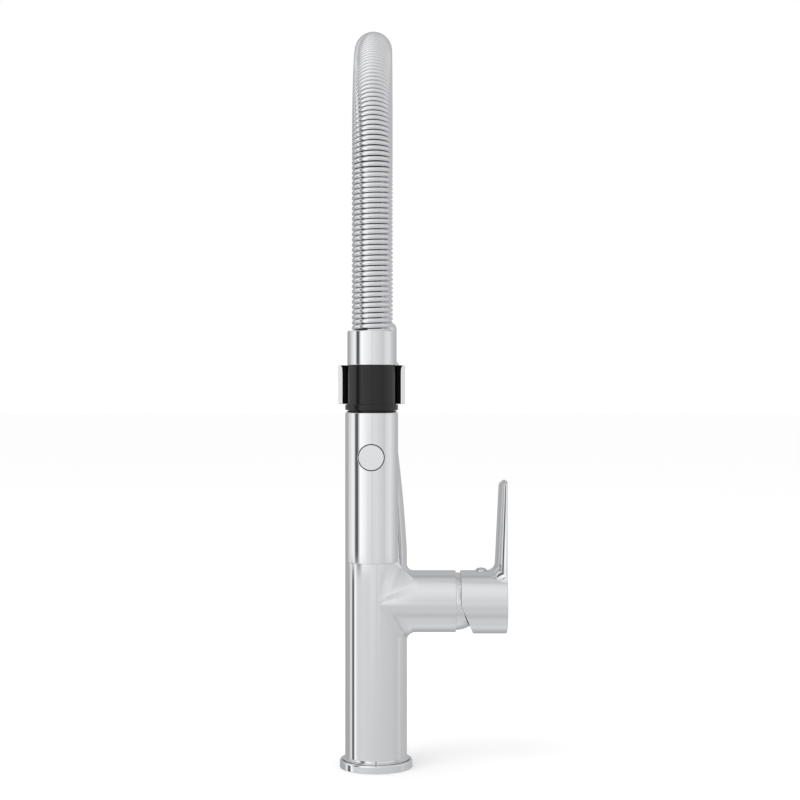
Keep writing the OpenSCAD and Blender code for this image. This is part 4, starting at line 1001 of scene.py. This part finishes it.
paper.inputs["Emission Color"].default_value = (1, 1, 1, 1)
ray = floor_paint.node_tree.nodes.new("ShaderNodeLightPath")
lift = floor_paint.node_tree.nodes.new("ShaderNodeMath")
lift.operation = "MULTIPLY"
lift.inputs[1].default_value = FLOOR_LIFT
floor_paint.node_tree.links.new(ray.outputs["Is Camera Ray"], lift.inputs[0])
floor_paint.node_tree.links.new(lift.outputs[0], paper.inputs["Emission Strength"])
floor_mesh.materials.append(floor_paint)
floor.visible_glossy = False
print("floor", 2 * FLOOR_HALF, "m wide")

# %% Camera
lens = bpy.data.cameras.new("camera")
lens.sensor_width = 36.0
lens.lens = 73.0
camera = bpy.data.objects.new("camera", lens)
camera.location = (0.018, -1.220, 0.2754)
camera.rotation_euler = (math.pi / 2, 0, 0)
bpy.context.scene.collection.objects.link(camera)
bpy.context.scene.camera = camera
print("camera at", [round(v, 3) for v in camera.location])

# %% [markdown]
# ## The studio
# A mirror shows its surroundings, so the surroundings are designed. Round the
# mixer stand white cards and black flags, as a product photographer puts them: a
# narrow black flag on the left draws the dark line down each cylinder, beside it a
# bright edge card, in front a soft box that falls off to the right, and behind a
# grey wall. The black flag is tall, so that its line also runs up the arch. The
# card on the right is lower than the others, and a slit is left between the two
# cards in front. All are seen by reflections only, and could be planes in the
# scene, but as a world they are far away and the same for every piece. All other
# light is plain white.
# %% Cards and flags by compass angle from the camera's side, left negative
REFLECTANCE = 0.82


def grey(level):
    """Linear brightness of a card that chrome shows as this screen level."""
    share = level / 255
    linear = share / 12.92 if share <= 0.04045 else ((share + 0.055) / 1.055) ** 2.4
    return linear / REFLECTANCE


EYE_LEVEL = [
    ("back wall", -180, 168), ("wall turns", -130, 166), ("side fill", -108, 214),
    ("edge card", -88, 240), ("flag edge", -80, 226), ("black flag", -73, 88),
    ("black flag", -62, 86), ("flag edge", -55, 215), ("soft box", -49, 255),
    ("soft box", -32, 242), ("soft box", 0, 226), ("falls off", 30, 212), ("far end", 58, 199),
    ("right card", 70, 215), ("right card", 92, 222), ("card end", 104, 207),
    ("wall turns", 130, 182), ("back wall", 180, 168),
]
BELOW_EYE = [
    ("back wall", -180, 160), ("wall turns", -117, 167), ("rim light", -105, 236),
    ("flag edge", -100, 150), ("black flag", -95.5, 84), ("black flag", -91, 88),
    ("edge card", -84, 255), ("card end", -78, 222), ("plain floor", -69, 205),
    ("plain floor", -48, 209), ("plain floor", 0, 201), ("plain floor", 52, 196),
    ("floor end", 84, 186), ("right card", 97, 208), ("card end", 110, 189),
    ("wall turns", 145, 180), ("back wall", 180, 162),
]
OVER_THE_FRONT = [
    ("table", -90, 202), ("table", -62, 199), ("table edge", -53, 189), ("table edge", -45, 182),
    ("floor", -37, 192), ("floor", -17, 197), ("horizon", -2, 203), ("front card", 13, 210),
    ("front card", 30, 219), ("front card", 46, 223), ("card top", 62, 220),
    ("card top", 70, 215), ("gap", 79, 206), ("roof", 90, 205),
]
OVER_THE_BACK = [
    ("table", -90, 206), ("table", -76, 206), ("rear floor", -61, 188), ("rear edge", -41, 166),
    ("back wall", -30, 165), ("rear glow", 11, 186), ("back wall", 40, 182),
    ("back wall", 56, 178), ("roof gap", 69, 166), ("roof", 81, 188), ("roof", 90, 202),
]
print(len(EYE_LEVEL), "cards at eye level,", len(BELOW_EYE), "below it")

# %% Helpers for the world's nodes
world = bpy.data.worlds.new("studio")
bpy.context.scene.world = world
world.use_nodes = True
studio = world.node_tree
studio.nodes.clear()


def math_node(operation, *values):
    """A Math node whose inputs are numbers or sockets; gives back its output."""
    node = studio.nodes.new("ShaderNodeMath")
    node.operation = operation
    for socket, value in zip(node.inputs, values):
        if isinstance(value, (int, float)):
            socket.default_value = value
        else:
            studio.links.new(value, socket)
    return node.outputs[0]


def smooth(value, low, high):
    """0 below low, 1 above high, smooth between."""
    node = studio.nodes.new("ShaderNodeMapRange")
    node.interpolation_type = "SMOOTHSTEP"
    node.inputs["From Min"].default_value = low
    node.inputs["From Max"].default_value = high
    studio.links.new(value, node.inputs["Value"])
    return node.outputs["Result"]


def between(share, a, b):
    """a where share is 0, b where it is 1."""
    rest = math_node("SUBTRACT", 1.0, share)
    return math_node("ADD", math_node("MULTIPLY", a, rest), math_node("MULTIPLY", b, share))


def cards(stops, angle_share, span_angle=360):
    """A ramp over the angle, one stop for each card; span_angle is the whole it covers."""
    ramp = studio.nodes.new("ShaderNodeValToRGB")
    ramp.color_ramp.interpolation = "LINEAR"
    points = ramp.color_ramp.elements
    while len(points) < len(stops):
        points.new(0.5)
    for point, (_, angle, level) in zip(points, stops):
        point.position = angle / span_angle + 0.5
        point.color = (*[grey(level)] * 3, 1)
    studio.links.new(angle_share, ramp.inputs["Fac"])
    return ramp.outputs["Color"]


print("world helpers ready")

# %% Where a reflection looks: compass angle and climb
direction = studio.nodes.new("ShaderNodeTexCoord").outputs["Generated"]
split = studio.nodes.new("ShaderNodeSeparateXYZ")
studio.links.new(direction, split.inputs[0])
to_right, to_back, to_top = split.outputs
compass = math_node("ARCTAN2", to_right, math_node("MULTIPLY", to_back, -1.0))
compass_share = math_node("ADD", math_node("DIVIDE", compass, FULL_TURN), 0.5)
climb = math_node("DEGREES", math_node("ARCSINE", to_top))
climb_share = math_node("ADD", math_node("DIVIDE", climb, 180.0), 0.5)


def sector(start, full, fade, end):
    """1 between two compass angles, 0 outside, with soft ends; in radians."""
    leaving = math_node("SUBTRACT", 1.0, smooth(compass, fade, end))
    return math_node("MULTIPLY", smooth(compass, start, full), leaving)


# Ahead is where the camera's side lies, and angles grow towards the right
ahead = sector(-0.5, -0.25, 0.2, 0.4)
tall_flag = sector(-1.72, -1.5, -0.6, -0.3)
low_right = sector(0.75, 1.05, 1.9, 2.2)
print("three sectors: ahead, the tall black flag, and the lower card on the right")

# %% Cards at eye level and below it
# Heights are degrees of climb. Ahead the horizon is soft, elsewhere it is sharp. Under the
# tall flag the cards of the eye level come back from 22 degrees down.
near_horizon = math_node("ADD", 0.97, math_node("MULTIPLY", smooth(climb, -17, -5.5), 0.06))
low_cards = math_node("MULTIPLY", cards(BELOW_EYE, compass_share), near_horizon)
horizon = between(ahead, smooth(climb, -6.4, -5.3), smooth(climb, -13, 3))
flag_low = math_node("MULTIPLY", tall_flag, smooth(climb, -22, -17))
horizon = math_node("MAXIMUM", horizon, math_node("SUBTRACT", tall_flag, flag_low))
level_band = between(horizon, low_cards, cards(EYE_LEVEL, compass_share))
arc_over = between(
    smooth(to_back, -0.04, 0.04),
    cards(OVER_THE_FRONT, climb_share, 180), cards(OVER_THE_BACK, climb_share, 180)
)
print("level cards and the arc over them are joined at the horizon")

# %% How high the level cards reach
# The tall flag reaches 42 degrees higher than the other cards, the right card 16 less.
# A slit between the two front cards shows what is over them.
FLAG_TALLER, CARD_LOWER = 42.0, 16.0
slope = math_node("SUBTRACT", math_node("ABSOLUTE", climb),
                  math_node("MULTIPLY", tall_flag, FLAG_TALLER))
slope = math_node("ADD", slope, math_node("MULTIPLY", low_right, CARD_LOWER))
slit = between(smooth(climb, 1, 6), math_node("MULTIPLY", smooth(climb, -12, -8), 0.68), 1.0)
slit = math_node("MULTIPLY", slit, sector(-0.006, 0.012, 0.088, 0.1))
steep = math_node("MAXIMUM", smooth(slope, 14, 58), slit)
over_right = math_node("MULTIPLY", sector(0.1, 0.3, 1.5, 2.0), smooth(climb, 2, 8))
shade = between(over_right, 1.0, 0.88)
seen = math_node("MULTIPLY", between(steep, level_band, arc_over), shade)
print(len(studio.nodes), "nodes in the studio")

# %% Light that each kind of ray meets
PLAIN_LIGHT, WHITE = 0.95, 1.0
path = studio.nodes.new("ShaderNodeLightPath").outputs
mirrored = math_node("MAXIMUM", path["Is Glossy Ray"], path["Is Transmission Ray"])
plain = between(path["Is Camera Ray"], PLAIN_LIGHT, WHITE)
light = studio.nodes.new("ShaderNodeBackground")
light.inputs["Color"].default_value = (1, 1, 1, 1)
studio.links.new(between(mirrored, plain, seen), light.inputs["Strength"])
output = studio.nodes.new("ShaderNodeOutputWorld")
studio.links.new(light.outputs[0], output.inputs["Surface"])

soft_lamp = bpy.data.lights.new("soft_lamp", "AREA")
soft_lamp.shape = "DISK"
soft_lamp.size = 1.6
soft_lamp.energy = 14.0
lamp = bpy.data.objects.new("soft_lamp", soft_lamp)
lamp.location = (-0.9, -1.1, 2.2)
lamp.rotation_euler = (math.radians(27), 0, math.radians(-39))
lamp.visible_glossy = False
bpy.context.scene.collection.objects.link(lamp)
bpy.context.scene.view_settings.view_transform = "Standard"
print("studio ready, with one soft lamp of", soft_lamp.energy, "W")
